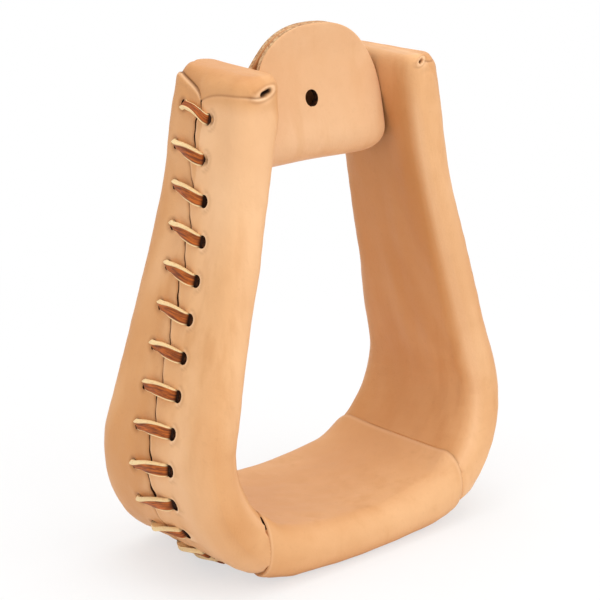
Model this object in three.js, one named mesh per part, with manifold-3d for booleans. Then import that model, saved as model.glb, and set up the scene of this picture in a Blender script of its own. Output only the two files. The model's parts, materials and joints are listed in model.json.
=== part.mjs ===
// A leather-covered western stirrup, in millimetres.
// +Z is up, and X runs from one arm to the other. The rider's foot goes in from the front, which is -Y.
// The origin is on the floor, under the middle of the tread.
//
// A bent bow of three glued wooden strips carries everything. Each arm has a leather cover that is laced up
// along the middle of its outer face. A leather sleeve goes round the tread, over the arm covers' lower ends.
// A bolt through the top of both arms holds a tube that turns, and a folded leather pad lies round the tube.

import * as THREE from "three";
import Module from "manifold-3d";
import { mergeVertices } from "three/addons/utils/BufferGeometryUtils.js";

const wasm = await Module();
wasm.setup();

// Side view of the bow, leather included. Each side is an arm line, a corner arc and a bottom arc.
const ARM_HEIGHT = 196;
const NECK_INNER_HALF = 26.2;
const NECK_THICKNESS = 19.4;
const NECK_OUTER_HALF = NECK_INNER_HALF + NECK_THICKNESS;
const INNER_LEAN = 14.83;
const OUTER_LEAN = 14.92;
const INNER_CORNER_RADIUS = 33.5;
const OUTER_CORNER_RADIUS = 48.9;
const INNER_BOTTOM_RADIUS = 189;
const OUTER_BOTTOM_RADIUS = 820;
const TREAD_TOP = 18.1;
const FLAT_DEPTH = 0.4;

// The arms turn upright towards their tops.
const INNER_FLARE_SLOPE = 0.22;
const INNER_FLARE_DROP = 24;
const OUTER_FLARE_SLOPE = 0.113;
const OUTER_FLARE_DROP = 50.7;
const FLARE_SOFTNESS = 9.8;

// Front view: how deep the bow is from front to back at three heights, and how round its edges are.
const NECK_DEPTH = 45.7;
const WAIST_DEPTH = 60.4;
const WAIST_HEIGHT = 98;
const TREAD_DEPTH = 79.4;
const TREAD_DEPTH_HEIGHT = 15.7;
const EDGE_RADIUS = 11;
const NECK_EDGE_RADIUS = 8.2;
const EDGE_CHANGE_DROP = 46;
const EDGE_CHANGE_LENGTH = 35;
const ROUNDEST_EDGE_SHARE = 0.49;

// Leather, wood and the clearances between them.
const COVER_THICKNESS = 3.2;
const WOOD_GAP = 0.3;
const GLUE_LINE = 0.3;
const STRIP_COUNT = 3;

// The top of an arm: the wings stop at the rim, and the tongue rolls over the top between them.
const RIM_DROP = 5.2;
const REAR_RIM_DROP = 2;
const WING_EDGE_THICKNESS = 1.8;
const TONGUE_GAP = 0.4;
const TONGUE_HALF_WIDTH = 11;
const TONGUE_RISE = 2.4;
const TONGUE_ROUNDING = 5.4;
const TONGUE_LENGTH = 10.8;
const TONGUE_LAP = 0.4;
const TONGUE_BED_DEPTH = 1.5;
const NOTCH_DEPTH = 9.5;
const NOTCH_HALF_WIDTH = 18;
const CORNER_SLIT_LENGTH = 5;
const CORNER_SLIT_WIDTH = 1.4;
const CORNER_SLIT_DROP = 6.5;
const CORNER_SLIT_TILT = 25;

// How far in the wings are pared for the tongue: from -1 on the inner face to 0 in mid thickness.
const TONGUE_BLEND = { bedFrom: -0.95, bedTo: -0.45, topFrom: -0.9, topTo: -0.4 };

// The laced seam along the outer face.
const SEAM_GAP = 0.8;
const SEAM_WANDER = 4.2;
const SEAM_WANDER_PLACE = 28;
const SEAM_WANDER_LENGTH = 20;
const STITCH_START = 14.2;
const STITCH_PITCH = 15.15;
const STITCH_HALF_SPAN = 8.6;
const STITCH_SLANT = 3.4;
const STITCH_SLANT_SLOPE = 0.036;
const LEAST_STITCH_SLANT = -2.4;
const LAST_STITCH_GAP = 0.9;
const LACE_WIDTH = 4.2;
const LACE_THICKNESS = 1.2;
const LACE_GAP = 0.4;
const LACE_TAIL = 5;
const LACE_RISE = 0.3;
const LACE_TURN = 0.8;
const TURN_START = 1.6;
const TURN_MIDDLE = 0.45;
const TURN_UNDER = 0.7;
const TURN_SHARE = 0.1;
const HOLE_END_GAP = 0.6;
const HOLE_SIDE_GAP = 1.2;
const CHANNEL_HALF_WIDTH = 12.4;
const CHANNEL_START = 11;

// The leather sleeve round the tread.
const SLEEVE_HALF_LENGTH = 51.5;
const SLEEVE_THICKNESS = 2.8;
const SLEEVE_GAP = 0.3;
const SLEEVE_SWELL = 1.4;
const SLEEVE_SWELL_LENGTH = 16;
const SLEEVE_SWELL_END = 2;
const COVER_TUCK = 12;
const COVER_START_PLACE = 0.5;
const TREAD_ZONE = 50;
const SLEEVE_END_PLACE = 1.65;
const SLEEVE_STEP_START = 17;
const SLEEVE_STEP_END = 7;

// The sleeve's own seam, sunk in a channel beneath the tread.
const TREAD_STITCH_COUNT = 6;
const TREAD_STITCH_PITCH = 11.4;
const TREAD_STITCH_HALF_SPAN = 4.6;
const TREAD_LACE_WIDTH = 2.4;
const TREAD_LACE_THICKNESS = 0.8;
const TREAD_LACE_GAP = 0.3;
const TREAD_LACE_TAIL = 3.6;

// The bar: a bolt through both arms, a tube on it and a folded pad round the tube.
const BAR_DROP = 28.7;
const BAR_HEIGHT = ARM_HEIGHT - BAR_DROP;
const BOLT_DIAMETER = 8;
const BOLT_HEAD_DIAMETER = 17;
const BOLT_HEAD_HEIGHT = 4;
const BOLT_HEAD_DOME = [[0, 1], [0.55, 0.9], [0.88, 0.55], [1, 0.15]];
const BOLT_GAP = 0.3;
const BOLT_END = 1;
const BOLT_CHAMFER = 0.8;
const NUT_WIDTH = 13;
const NUT_HEIGHT = 4.5;
const WASHER_DIAMETER = 19;
const WASHER_THICKNESS = 1.5;
const SEAT_GAP = 0.3;
const COUNTERBORE_GAP = 1;
const ROLLER_DIAMETER = 14;
const ROLLER_END_GAP = 0.5;
const PAD_GAP = 0.35;
const PAD_THICKNESS = 2.8;
const PAD_LAYER_GAP = 0.3;
const PAD_HALF_WIDTH = 32.3;
const PAD_HEIGHT = 44.2;
const PAD_SHOULDER = 11.5;
const PAD_ROUNDNESS = 2.33;
const PAD_TIP_HALF_WIDTH = 4;
const PAD_JOIN_HEIGHT = 32.5;
const PAD_LOWER_CORNER = 14.5;
const PAD_LEAN = 1.5;
const PAD_HOLE_DIAMETER = 6.6;
const PAD_HOLE_SIDE = -4.9;
const PAD_HOLE_HEIGHT = 16;

// How finely the curves are cut into flats.
const BOTTOM_STEPS = 4;
const CORNER_STEPS = 8;
const ARM_STEPS = 8;
const EDGE_STEPS = 4;
const HIDDEN_EDGE_STEPS = 3;
const ROUND_STEPS = 24;
const FLAP_STEPS = 3;
const LINE_STEPS = 300;

// How far cutting shapes run past what they cut, and how far they run to clear the whole stirrup.
const REACH = 6;
const FAR = 200;

// The steps over which a curve's direction is taken, as a share of its place and as a length.
const SLOPE_STEP = 0.01;
const SLOPE_LENGTH = 0.5;

const radians = THREE.MathUtils.degToRad;
const smooth = THREE.MathUtils.smoothstep;

// Materials

function finish(color, roughness, metalness) {
  return new THREE.MeshStandardMaterial({ color, roughness, metalness });
}

const LEATHER = finish(0xe3ad7c, 0.55, 0);
const LACE_LEATHER = finish(0x9a5c30, 0.6, 0);
const WOOD = finish(0xd2a871, 0.65, 0);
const STEEL = finish(0xb9bbbd, 0.35, 1);

// Solids

function solid(geometry) {
  const bare = geometry.clone();
  bare.deleteAttribute("normal");
  bare.deleteAttribute("uv");
  const merged = mergeVertices(bare, 1e-4);
  const mesh = new wasm.Mesh({
    numProp: 3,
    vertProperties: merged.attributes.position.array,
    triVerts: new Uint32Array(merged.index.array),
  });
  return new wasm.Manifold(mesh);
}

function geometryOf(body) {
  const mesh = body.getMesh();
  const geometry = new THREE.BufferGeometry();
  geometry.setAttribute("position", new THREE.BufferAttribute(mesh.vertProperties, 3));
  geometry.setIndex(new THREE.BufferAttribute(mesh.triVerts, 1));
  return geometry;
}

function piece(name, geometry, material) {
  geometry.computeVertexNormals();
  const mesh = new THREE.Mesh(geometry, material);
  mesh.name = name;
  return mesh;
}

function mirrored(geometry) {
  const copy = geometry.clone().scale(-1, 1, 1);
  const index = copy.index.array;
  for (let i = 0; i < index.length; i += 3) {
    const first = index[i];
    index[i] = index[i + 1];
    index[i + 1] = first;
  }
  return copy;
}

function signedVolume(points, triangles) {
  let sum = 0;
  for (let i = 0; i < triangles.length; i += 3) {
    const [a, b, c] = [0, 1, 2].map((k) => points[triangles[i + k]]);
    sum += a.dot(new THREE.Vector3().crossVectors(b, c));
  }
  return sum;
}

// A closed solid through a row of rings that all have the same number of points.
function loft(rings) {
  const count = rings[0].length;
  const points = rings.flat();
  const triangles = [];
  for (let i = 0; i + 1 < rings.length; i++) {
    for (let j = 0; j < count; j++) {
      const here = i * count + j;
      const next = i * count + ((j + 1) % count);
      triangles.push(here, next, next + count, here, next + count, here + count);
    }
  }
  for (const [start, turn] of [[0, false], [(rings.length - 1) * count, true]]) {
    for (let j = 1; j + 1 < count; j++) {
      triangles.push(start, start + j + (turn ? 0 : 1), start + j + (turn ? 1 : 0));
    }
  }
  if (signedVolume(points, triangles) < 0) triangles.reverse();
  const geometry = new THREE.BufferGeometry().setFromPoints(points);
  geometry.setIndex(triangles);
  return geometry;
}

function box(low, high) {
  const size = new THREE.Vector3().subVectors(high, low);
  const middle = new THREE.Vector3().addVectors(low, high).multiplyScalar(0.5);
  return new THREE.BoxGeometry(size.x, size.y, size.z).translate(middle.x, middle.y, middle.z);
}

// A cylinder along X between two places.
function rodX(radius, from, to, height) {
  return new THREE.CylinderGeometry(radius, radius, to - from, ROUND_STEPS)
    .rotateZ(Math.PI / 2)
    .translate((from + to) / 2, 0, height);
}

// The bow's side view

// One side of the right half, as a function of a place from 0 in the middle of the tread,
// over 1 and 2 at the ends of the corner arc, to 3 at the top of the arm.
function bowSide(topHalf, leanDegrees, cornerRadius, bottomRadius, bottomHeight, flare, flareHeight) {
  const lean = radians(leanDegrees);
  const along = new THREE.Vector2(Math.sin(lean), -Math.cos(lean));
  const inward = new THREE.Vector2(-Math.cos(lean), -Math.sin(lean));
  const top = new THREE.Vector2(topHalf, ARM_HEIGHT);
  const bottomCentre = new THREE.Vector2(0, bottomHeight + bottomRadius);
  const offset = top.clone().addScaledVector(inward, cornerRadius).sub(bottomCentre);
  const reach = bottomRadius - cornerRadius;
  const middle = offset.dot(along);
  const length = -middle + Math.sqrt(middle * middle - offset.lengthSq() + reach * reach);
  const cornerCentre = top.clone().addScaledVector(along, length).addScaledVector(inward, cornerRadius);
  const armAngle = Math.atan2(-inward.y, -inward.x);
  const joinAngle = cornerCentre.clone().sub(bottomCentre).angle() - 2 * Math.PI;
  const bottomStart = -Math.PI / 2;
  const onArc = (centre, radius, angle) =>
    new THREE.Vector2(centre.x + radius * Math.cos(angle), centre.y + radius * Math.sin(angle));
  return (place) => {
    let point;
    if (place <= 1) {
      point = onArc(bottomCentre, bottomRadius, THREE.MathUtils.lerp(bottomStart, joinAngle, place));
    } else if (place <= 2) {
      point = onArc(cornerCentre, cornerRadius, THREE.MathUtils.lerp(joinAngle, armAngle, place - 1));
    } else {
      point = top.clone().addScaledVector(along, length * (3 - place));
    }
    const over = (point.y - flareHeight) / FLARE_SOFTNESS;
    point.x += flare * FLARE_SOFTNESS * Math.log1p(Math.exp(over));
    return point;
  };
}

const innerSide = bowSide(
  NECK_INNER_HALF, INNER_LEAN, INNER_CORNER_RADIUS, INNER_BOTTOM_RADIUS, TREAD_TOP,
  INNER_FLARE_SLOPE, ARM_HEIGHT - INNER_FLARE_DROP,
);
const outerSide = bowSide(
  NECK_OUTER_HALF, OUTER_LEAN, OUTER_CORNER_RADIUS, OUTER_BOTTOM_RADIUS, -FLAT_DEPTH,
  OUTER_FLARE_SLOPE, ARM_HEIGHT - OUTER_FLARE_DROP,
);

// The depth from front to back is a parabola through its three named sizes.
function depthAt(height) {
  const known = [
    [ARM_HEIGHT, NECK_DEPTH],
    [WAIST_HEIGHT, WAIST_DEPTH],
    [TREAD_DEPTH_HEIGHT, TREAD_DEPTH],
  ];
  return known.reduce((sum, [own, depth]) => {
    const others = known.filter(([other]) => other !== own);
    const weight = others.reduce((product, [other]) => (product * (height - other)) / (own - other), 1);
    return sum + weight * depth;
  }, 0);
}

function edgeRadiusAt(height, thickness) {
  const start = ARM_HEIGHT - EDGE_CHANGE_DROP;
  const change = smooth(height, start, start + EDGE_CHANGE_LENGTH);
  const radius = THREE.MathUtils.lerp(EDGE_RADIUS, NECK_EDGE_RADIUS, change);
  return Math.min(radius, ROUNDEST_EDGE_SHARE * thickness);
}

// How much longer the way to a depth under a face is along a slanting direction than straight in.
function stretchAt(curve, place, across) {
  const along = curve(place + SLOPE_STEP).sub(curve(place - SLOPE_STEP)).normalize();
  return 1 / Math.abs(along.cross(across));
}

// The cross-section at a place on the right half, with a mark for the left half where side is -1.
function section(place, side = 1) {
  const inner = innerSide(place);
  const outer = outerSide(place);
  const across = outer.clone().sub(inner);
  const thickness = across.length();
  across.divideScalar(thickness);
  const centre = inner.clone().add(outer).multiplyScalar(0.5);
  const halfDepth = depthAt(centre.y) / 2;
  return {
    centre: new THREE.Vector3(side * centre.x, 0, centre.y),
    out: new THREE.Vector3(side * across.x, 0, across.y),
    halfThickness: thickness / 2,
    halfDepth,
    radius: edgeRadiusAt(centre.y, thickness),
    outerStretch: stretchAt(outerSide, place, across),
    innerStretch: stretchAt(innerSide, place, across),
  };
}

// A ring round the cross-section, set in from the leather's outside by a size that may change on the way.
function ring(place, side, inset, steps = EDGE_STEPS) {
  const { centre, out, halfThickness, halfDepth, radius, outerStretch, innerStretch } = section(place, side);
  const points = [];
  for (let quarter = 0; quarter < 4; quarter++) {
    for (let step = 0; step <= steps; step++) {
      const angle = ((quarter + step / steps) * Math.PI) / 2;
      const outSign = quarter === 0 || quarter === 3 ? 1 : -1;
      const backSign = quarter < 2 ? 1 : -1;
      const corner = centre
        .clone()
        .addScaledVector(out, outSign * (halfThickness - radius))
        .add(new THREE.Vector3(0, backSign * (halfDepth - radius), 0));
      const way = out.clone().multiplyScalar(Math.cos(angle));
      way.y = Math.sin(angle);
      const point = corner.addScaledVector(way, radius);
      const depth = typeof inset === "number" ? inset : inset(point, Math.cos(angle));
      const stretch = outSign > 0 ? outerStretch : innerStretch;
      point.addScaledVector(out, -depth * stretch * Math.cos(angle));
      points.push(point.add(new THREE.Vector3(0, -depth * Math.sin(angle), 0)));
    }
  }
  return points;
}

function halfPlaces() {
  const bottom = Array.from({ length: BOTTOM_STEPS }, (_, i) => i / BOTTOM_STEPS);
  const corner = Array.from({ length: CORNER_STEPS }, (_, i) => 1 + i / CORNER_STEPS);
  const arm = Array.from({ length: ARM_STEPS + 1 }, (_, i) => 2 + i / ARM_STEPS);
  return [...bottom, ...corner, ...arm];
}

// Every place round the bow, from the left arm's top to the right arm's.
function bowPlaces(limit = 3) {
  const half = halfPlaces().filter((place) => place <= limit);
  const left = half.slice(1).reverse().map((place) => ({ place, side: -1 }));
  return [...left, ...half.map((place) => ({ place, side: 1 }))];
}

// The place on a side where it has a given height.
function placeAtHeight(curve, height) {
  let low = 2;
  let high = 3;
  for (let i = 0; i < 40; i++) {
    const middle = (low + high) / 2;
    if (curve(middle).y < height) low = middle;
    else high = middle;
  }
  return (low + high) / 2;
}

const innerHalfAt = (height) => innerSide(placeAtHeight(innerSide, height)).x;
const outerHalfAt = (height) => outerSide(placeAtHeight(outerSide, height)).x;

// The outer face's middle line, measured from the top of the arm down.
const OUTER_LINE = (() => {
  const points = Array.from({ length: LINE_STEPS + 1 }, (_, i) => outerSide(3 - (3 * i) / LINE_STEPS));
  const lengths = [0];
  for (let i = 1; i < points.length; i++) lengths.push(lengths[i - 1] + points[i].distanceTo(points[i - 1]));
  return { points, lengths };
})();

// A point on or under the right arm's outer face: down from the top, back from the middle, and out of it.
function onOuterFace(down, back, out) {
  const { points, lengths } = OUTER_LINE;
  let i = lengths.findIndex((length) => length > down);
  i = i < 1 ? (down <= 0 ? 1 : points.length - 1) : i;
  const share = (down - lengths[i - 1]) / (lengths[i] - lengths[i - 1]);
  const along = points[i].clone().sub(points[i - 1]).normalize();
  const point = points[i - 1].clone().lerp(points[i], share);
  point.addScaledVector(new THREE.Vector2(-along.y, along.x), out);
  return new THREE.Vector3(point.x, back, point.y);
}

function alongOuterFace(down) {
  return onOuterFace(down + SLOPE_LENGTH, 0, 0).sub(onOuterFace(down - SLOPE_LENGTH, 0, 0)).normalize();
}

function outOfOuterFace(down) {
  return onOuterFace(down, 0, 1).sub(onOuterFace(down, 0, 0));
}

// Axes on the outer face: forwards across the arm, down along it, and out of it.
function outerFrame(down, origin) {
  const along = alongOuterFace(down);
  const out = outOfOuterFace(down);
  const across = new THREE.Vector3().crossVectors(along, out);
  return new THREE.Matrix4().makeBasis(across, along, out).setPosition(origin);
}

// A band under the outer face, straight from front to back.
function outerBand(fromDown, toDown, shallow, deep, halfWidth, steps) {
  const rings = Array.from({ length: steps + 1 }, (_, i) => {
    const down = THREE.MathUtils.lerp(fromDown, toDown, i / steps);
    return [
      onOuterFace(down, -halfWidth, -shallow),
      onOuterFace(down, halfWidth, -shallow),
      onOuterFace(down, halfWidth, -deep),
      onOuterFace(down, -halfWidth, -deep),
    ];
  });
  return solid(loft(rings));
}

// How far down the outer face the tread's sleeve ends.
const SLEEVE_INDEX = OUTER_LINE.points.findLastIndex((point) => point.x > SLEEVE_HALF_LENGTH);
const SLEEVE_DOWN = OUTER_LINE.lengths[SLEEVE_INDEX];

// The wooden bow

const WOOD_INSET = COVER_THICKNESS + WOOD_GAP;
const WOOD_TOP = ARM_HEIGHT - WOOD_INSET;

function woodenCore() {
  const rings = bowPlaces().map(({ place, side }) => ring(place, side, WOOD_INSET, HIDDEN_EDGE_STEPS));
  const above = box(new THREE.Vector3(-FAR, -FAR, WOOD_TOP), new THREE.Vector3(FAR, FAR, ARM_HEIGHT + REACH));
  return solid(loft(rings)).subtract(solid(above));
}

// The space of one strip: a layer across the bow's thickness, counted from the inside of the bow.
function stripSpace(layer) {
  const rings = bowPlaces().map(({ place, side }) => {
    const { centre, out, halfThickness, halfDepth } = section(place, side);
    const half = halfThickness - WOOD_INSET;
    const step = (2 * half + GLUE_LINE) / STRIP_COUNT;
    const low = layer === 0 ? -half - 1 : -half + layer * step;
    const high = layer === STRIP_COUNT - 1 ? half + 1 : -half + (layer + 1) * step - GLUE_LINE;
    const corners = [[low, -halfDepth], [high, -halfDepth], [high, halfDepth], [low, halfDepth]];
    return corners.map(([u, v]) => centre.clone().addScaledVector(out, u).add(new THREE.Vector3(0, v, 0)));
  });
  return solid(loft(rings));
}

const BORE = BOLT_DIAMETER / 2 + BOLT_GAP;
const COUNTERBORE_RADIUS = WASHER_DIAMETER / 2 + COUNTERBORE_GAP;
const SEAT_HALF =
  outerHalfAt(BAR_HEIGHT + COUNTERBORE_RADIUS) - WOOD_INSET -
  Math.max(BOLT_HEAD_HEIGHT, NUT_HEIGHT + BOLT_END) - WASHER_THICKNESS - 2 * SEAT_GAP;

function boltPassage() {
  const bore = solid(rodX(BORE, -FAR, FAR, BAR_HEIGHT));
  const left = solid(rodX(COUNTERBORE_RADIUS, -FAR, -SEAT_HALF, BAR_HEIGHT));
  const right = solid(rodX(COUNTERBORE_RADIUS, SEAT_HALF, FAR, BAR_HEIGHT));
  return bore.add(left).add(right);
}

// A groove in the wood beneath the tread, where the inner passes of the sleeve's lace lie.
function treadGroove() {
  const half = TREAD_STITCH_HALF_SPAN + TREAD_LACE_THICKNESS + 2 * TREAD_LACE_GAP;
  const end = (TREAD_STITCH_PITCH * TREAD_STITCH_COUNT) / 2 + TREAD_LACE_WIDTH;
  const steps = 6;
  const rings = Array.from({ length: steps + 1 }, (_, i) => {
    const x = THREE.MathUtils.lerp(-end, end, i / steps);
    const low = undersideAt(x) + COVER_THICKNESS;
    const high = low + TREAD_LACE_THICKNESS + 2 * TREAD_LACE_GAP;
    const corners = [[-half, low], [half, low], [half, high], [-half, high]];
    return corners.map(([y, z]) => new THREE.Vector3(x, y, z));
  });
  return solid(loft(rings));
}

function bowStrips() {
  const core = woodenCore().subtract(boltPassage()).subtract(treadGroove());
  const names = ["bow_inner_strip", "bow_middle_strip", "bow_outer_strip"];
  return names.map((name, layer) => piece(name, geometryOf(core.intersect(stripSpace(layer))), WOOD));
}

// The arm covers, made for the right arm

// How far the cover's outside is pared away where it lies under the tread sleeve.
const COVER_SKIVE = SLEEVE_THICKNESS + SLEEVE_GAP - SLEEVE_SWELL;

function coverPlaces() {
  return halfPlaces()
    .filter((place) => place >= COVER_START_PLACE)
    .map((place) => ({ place, side: 1 }));
}

function armLoft(inset, top, steps) {
  const rings = coverPlaces().map(({ place, side }) => ring(place, side, inset, steps));
  const body = solid(loft(rings));
  const above = box(new THREE.Vector3(0, -FAR, top), new THREE.Vector3(FAR, FAR, ARM_HEIGHT + 2 * REACH));
  return top < ARM_HEIGHT ? body.subtract(solid(above)) : body;
}

// The wings and the inner face, as one tube that is open at the rim.
function wrap() {
  const rimStart = new THREE.Vector3(0, -FAR, ARM_HEIGHT - RIM_DROP);
  const frontRim = solid(box(rimStart, new THREE.Vector3(FAR, 0, ARM_HEIGHT)));
  const outside = armLoft(0, ARM_HEIGHT - REAR_RIM_DROP, EDGE_STEPS).subtract(frontRim);
  const inside = armLoft(COVER_THICKNESS, ARM_HEIGHT, HIDDEN_EDGE_STEPS);
  const end = SLEEVE_HALF_LENGTH + SLEEVE_GAP;
  const underSleeve = solid(box(new THREE.Vector3(0, -FAR, -REACH), new THREE.Vector3(end, FAR, TREAD_ZONE)));
  const skive = underSleeve.subtract(armLoft(COVER_SKIVE, ARM_HEIGHT, EDGE_STEPS));
  return outside.subtract(inside).subtract(skive);
}

// Near the top the wings are pared inside to make room for the tongue.
function tongueBed() {
  const low = ARM_HEIGHT - RIM_DROP - TONGUE_BED_DEPTH;
  const rings = [low, ARM_HEIGHT].map((height) =>
    ringAtHeight(height, (point, outward) => {
      const share = smooth(outward, TONGUE_BLEND.bedFrom, TONGUE_BLEND.bedTo);
      return THREE.MathUtils.lerp(COVER_THICKNESS, WING_EDGE_THICKNESS, share);
    }),
  );
  return solid(loft(rings));
}

// A level ring at a height near the top of the arm.
function ringAtHeight(height, inset) {
  const place = placeAtHeight(outerSide, Math.min(height, ARM_HEIGHT));
  return ring(place, 1, inset).map((point) => point.setZ(height));
}

// The tongue's top, rolled over the wood: flush with the inner face, and set in under the wings elsewhere.
function tongueTop() {
  const low = ARM_HEIGHT - RIM_DROP - TONGUE_LAP;
  const steps = 5;
  const rings = Array.from({ length: steps + 2 }, (_, i) => {
    const angle = (Math.max(i - 1, 0) / steps) * (Math.PI / 2);
    const rise = i === 0 ? 0 : TONGUE_LAP + (RIM_DROP + TONGUE_RISE) * Math.sin(angle);
    const round = TONGUE_ROUNDING * (1 - Math.cos(angle));
    return ringAtHeight(low + rise, (point, outward) => {
      const share = smooth(outward, TONGUE_BLEND.topFrom, TONGUE_BLEND.topTo);
      return round + share * (WING_EDGE_THICKNESS + TONGUE_GAP);
    });
  });
  return solid(loft(rings)).subtract(armLoft(COVER_THICKNESS, WOOD_TOP + WOOD_GAP, HIDDEN_EDGE_STEPS));
}

function tongueFlap() {
  const shallow = WING_EDGE_THICKNESS + TONGUE_GAP;
  const start = RIM_DROP - TONGUE_LAP;
  return outerBand(start, TONGUE_LENGTH, shallow, COVER_THICKNESS, TONGUE_HALF_WIDTH, FLAP_STEPS);
}

// The wings' top edges fall in a notch towards the seam.
function notch() {
  const shape = new THREE.Shape();
  shape.moveTo(-NOTCH_HALF_WIDTH, -REACH);
  shape.lineTo(-NOTCH_HALF_WIDTH, REAR_RIM_DROP);
  shape.quadraticCurveTo(-NOTCH_HALF_WIDTH / 3, RIM_DROP, 0, NOTCH_DEPTH);
  shape.quadraticCurveTo(NOTCH_HALF_WIDTH / 3, RIM_DROP, NOTCH_HALF_WIDTH, RIM_DROP);
  shape.lineTo(NOTCH_HALF_WIDTH, -REACH);
  const depth = REACH + WING_EDGE_THICKNESS + TONGUE_GAP / 2;
  const geometry = new THREE.ExtrudeGeometry(shape, { depth, bevelEnabled: false, curveSegments: 4 });
  const middle = NOTCH_DEPTH / 2;
  return solid(geometry.applyMatrix4(outerFrame(middle, onOuterFace(0, 0, REACH - depth))));
}

function seamOffset(down) {
  const away = (down - SEAM_WANDER_PLACE) / SEAM_WANDER_LENGTH;
  return SEAM_WANDER * Math.exp(-away * away);
}

const SEAM_END = SLEEVE_DOWN + 2 * COVER_TUCK;

function seamSlot() {
  const steps = 26;
  const rings = Array.from({ length: steps + 1 }, (_, i) => {
    const down = THREE.MathUtils.lerp(SLOPE_LENGTH, SEAM_END, i / steps);
    const middle = seamOffset(down);
    return [
      onOuterFace(down, middle - SEAM_GAP / 2, 1),
      onOuterFace(down, middle + SEAM_GAP / 2, 1),
      onOuterFace(down, middle + SEAM_GAP / 2, -WOOD_INSET),
      onOuterFace(down, middle - SEAM_GAP / 2, -WOOD_INSET),
    ];
  });
  return solid(loft(rings));
}

// Beneath the seam the wings are pared on the flesh side, so that the lace can pass.
const LACE_ROOM = LACE_THICKNESS + 2 * LACE_GAP;
const PARED_WING = COVER_THICKNESS + WOOD_GAP - LACE_ROOM;

function laceChannel() {
  const end = SLEEVE_DOWN - LAST_STITCH_GAP / 2;
  const steps = 18;
  return outerBand(CHANNEL_START, end, PARED_WING, WOOD_INSET + 1, CHANNEL_HALF_WIDTH, steps);
}

const stitchSlant = (down) => Math.max(STITCH_SLANT - STITCH_SLANT_SLOPE * down, LEAST_STITCH_SLANT);
const LAST_STITCH = SLEEVE_DOWN - (LACE_WIDTH - LEAST_STITCH_SLANT) / 2 - LAST_STITCH_GAP;
const STITCH_COUNT = Math.round((LAST_STITCH - STITCH_START) / STITCH_PITCH) + 1;

// Each stitch runs from a hole in the back wing to one in the front wing. The last is by the tread's sleeve.
function stitches() {
  return Array.from({ length: STITCH_COUNT }, (_, i) => {
    const down = i + 1 === STITCH_COUNT ? LAST_STITCH : STITCH_START + STITCH_PITCH * i;
    const slant = stitchSlant(down);
    const middle = seamOffset(down);
    return {
      rear: { down: down - slant / 2, back: middle + STITCH_HALF_SPAN },
      front: { down: down + slant / 2, back: middle - STITCH_HALF_SPAN },
    };
  });
}

// A punched hole, longer along the arm than across it.
function punchedHole({ down, back }) {
  const long = LACE_WIDTH / 2 + HOLE_END_GAP;
  const short = LACE_THICKNESS / 2 + HOLE_SIDE_GAP;
  const geometry = new THREE.CylinderGeometry(1, 1, 2 * WOOD_INSET, 8).rotateX(Math.PI / 2);
  geometry.scale(short, long, 1);
  return solid(geometry.applyMatrix4(outerFrame(down, onOuterFace(down, back, 0))));
}

// The relief cut at a corner where the tongue leaves the wings.
function cornerSlit(backSign) {
  const height = ARM_HEIGHT - CORNER_SLIT_DROP;
  const { centre, out, halfThickness, halfDepth, radius } = section(placeAtHeight(innerSide, height), 1);
  const way = out.clone().multiplyScalar(-1).add(new THREE.Vector3(0, backSign, 0)).normalize();
  const corner = centre
    .clone()
    .addScaledVector(out, radius - halfThickness)
    .add(new THREE.Vector3(0, backSign * (halfDepth - radius), 0))
    .addScaledVector(way, radius - WOOD_INSET / 2)
    .setZ(height);
  const level = new THREE.Vector3().crossVectors(new THREE.Vector3(0, 0, 1), way).normalize();
  const up = new THREE.Vector3().crossVectors(way, level);
  const geometry = new THREE.CylinderGeometry(1, 1, 2 * WOOD_INSET, 8).rotateX(Math.PI / 2);
  geometry.scale(CORNER_SLIT_LENGTH / 2, CORNER_SLIT_WIDTH / 2, 1);
  geometry.rotateZ(radians(-CORNER_SLIT_TILT * backSign));
  return solid(geometry.applyMatrix4(new THREE.Matrix4().makeBasis(level, up, way).setPosition(corner)));
}

function armCover() {
  let cover = wrap().subtract(tongueBed()).subtract(notch());
  const flapEnd = TONGUE_LENGTH + TONGUE_GAP;
  const flapHalf = TONGUE_HALF_WIDTH + TONGUE_GAP;
  cover = cover.subtract(outerBand(-1, flapEnd, WING_EDGE_THICKNESS, WOOD_INSET, flapHalf, FLAP_STEPS));
  cover = cover.add(tongueTop()).add(tongueFlap());
  cover = cover.subtract(laceChannel()).subtract(seamSlot());
  for (const { rear, front } of stitches()) {
    cover = cover.subtract(punchedHole(rear)).subtract(punchedHole(front));
  }
  cover = cover.subtract(cornerSlit(1)).subtract(cornerSlit(-1));
  cover = cover.subtract(solid(rodX(BORE, 0, SEAT_HALF, BAR_HEIGHT)));
  const tread = new THREE.Vector3(SLEEVE_HALF_LENGTH - COVER_TUCK, FAR, TREAD_ZONE);
  return geometryOf(cover.subtract(solid(box(new THREE.Vector3(-REACH, -FAR, -REACH), tread))));
}

// Laces

// A flat strip through a row of places. It lies flat on the arm, and turns only where it goes through a hole.
function flatStrip(places, width, thickness, toPoint, alongAt) {
  const rings = places.map((place, i) => {
    const before = toPoint(places[Math.max(i - 1, 0)]);
    const after = toPoint(places[Math.min(i + 1, places.length - 1)]);
    const here = toPoint(place);
    const along = alongAt(place);
    const way = after.sub(before);
    way.addScaledVector(along, -way.dot(along)).normalize();
    const flat = new THREE.Vector3().crossVectors(way, along).normalize();
    return [[-1, -1], [1, -1], [1, 1], [-1, 1]].map(([w, t]) =>
      here.clone().addScaledVector(along, (w * width) / 2).addScaledVector(flat, (t * thickness) / 2),
    );
  });
  return loft(rings);
}

function between(from, to, share) {
  const at = (name) => THREE.MathUtils.lerp(from[name], to[name], share);
  return { down: at("down"), back: at("back"), out: at("out") };
}

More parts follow.
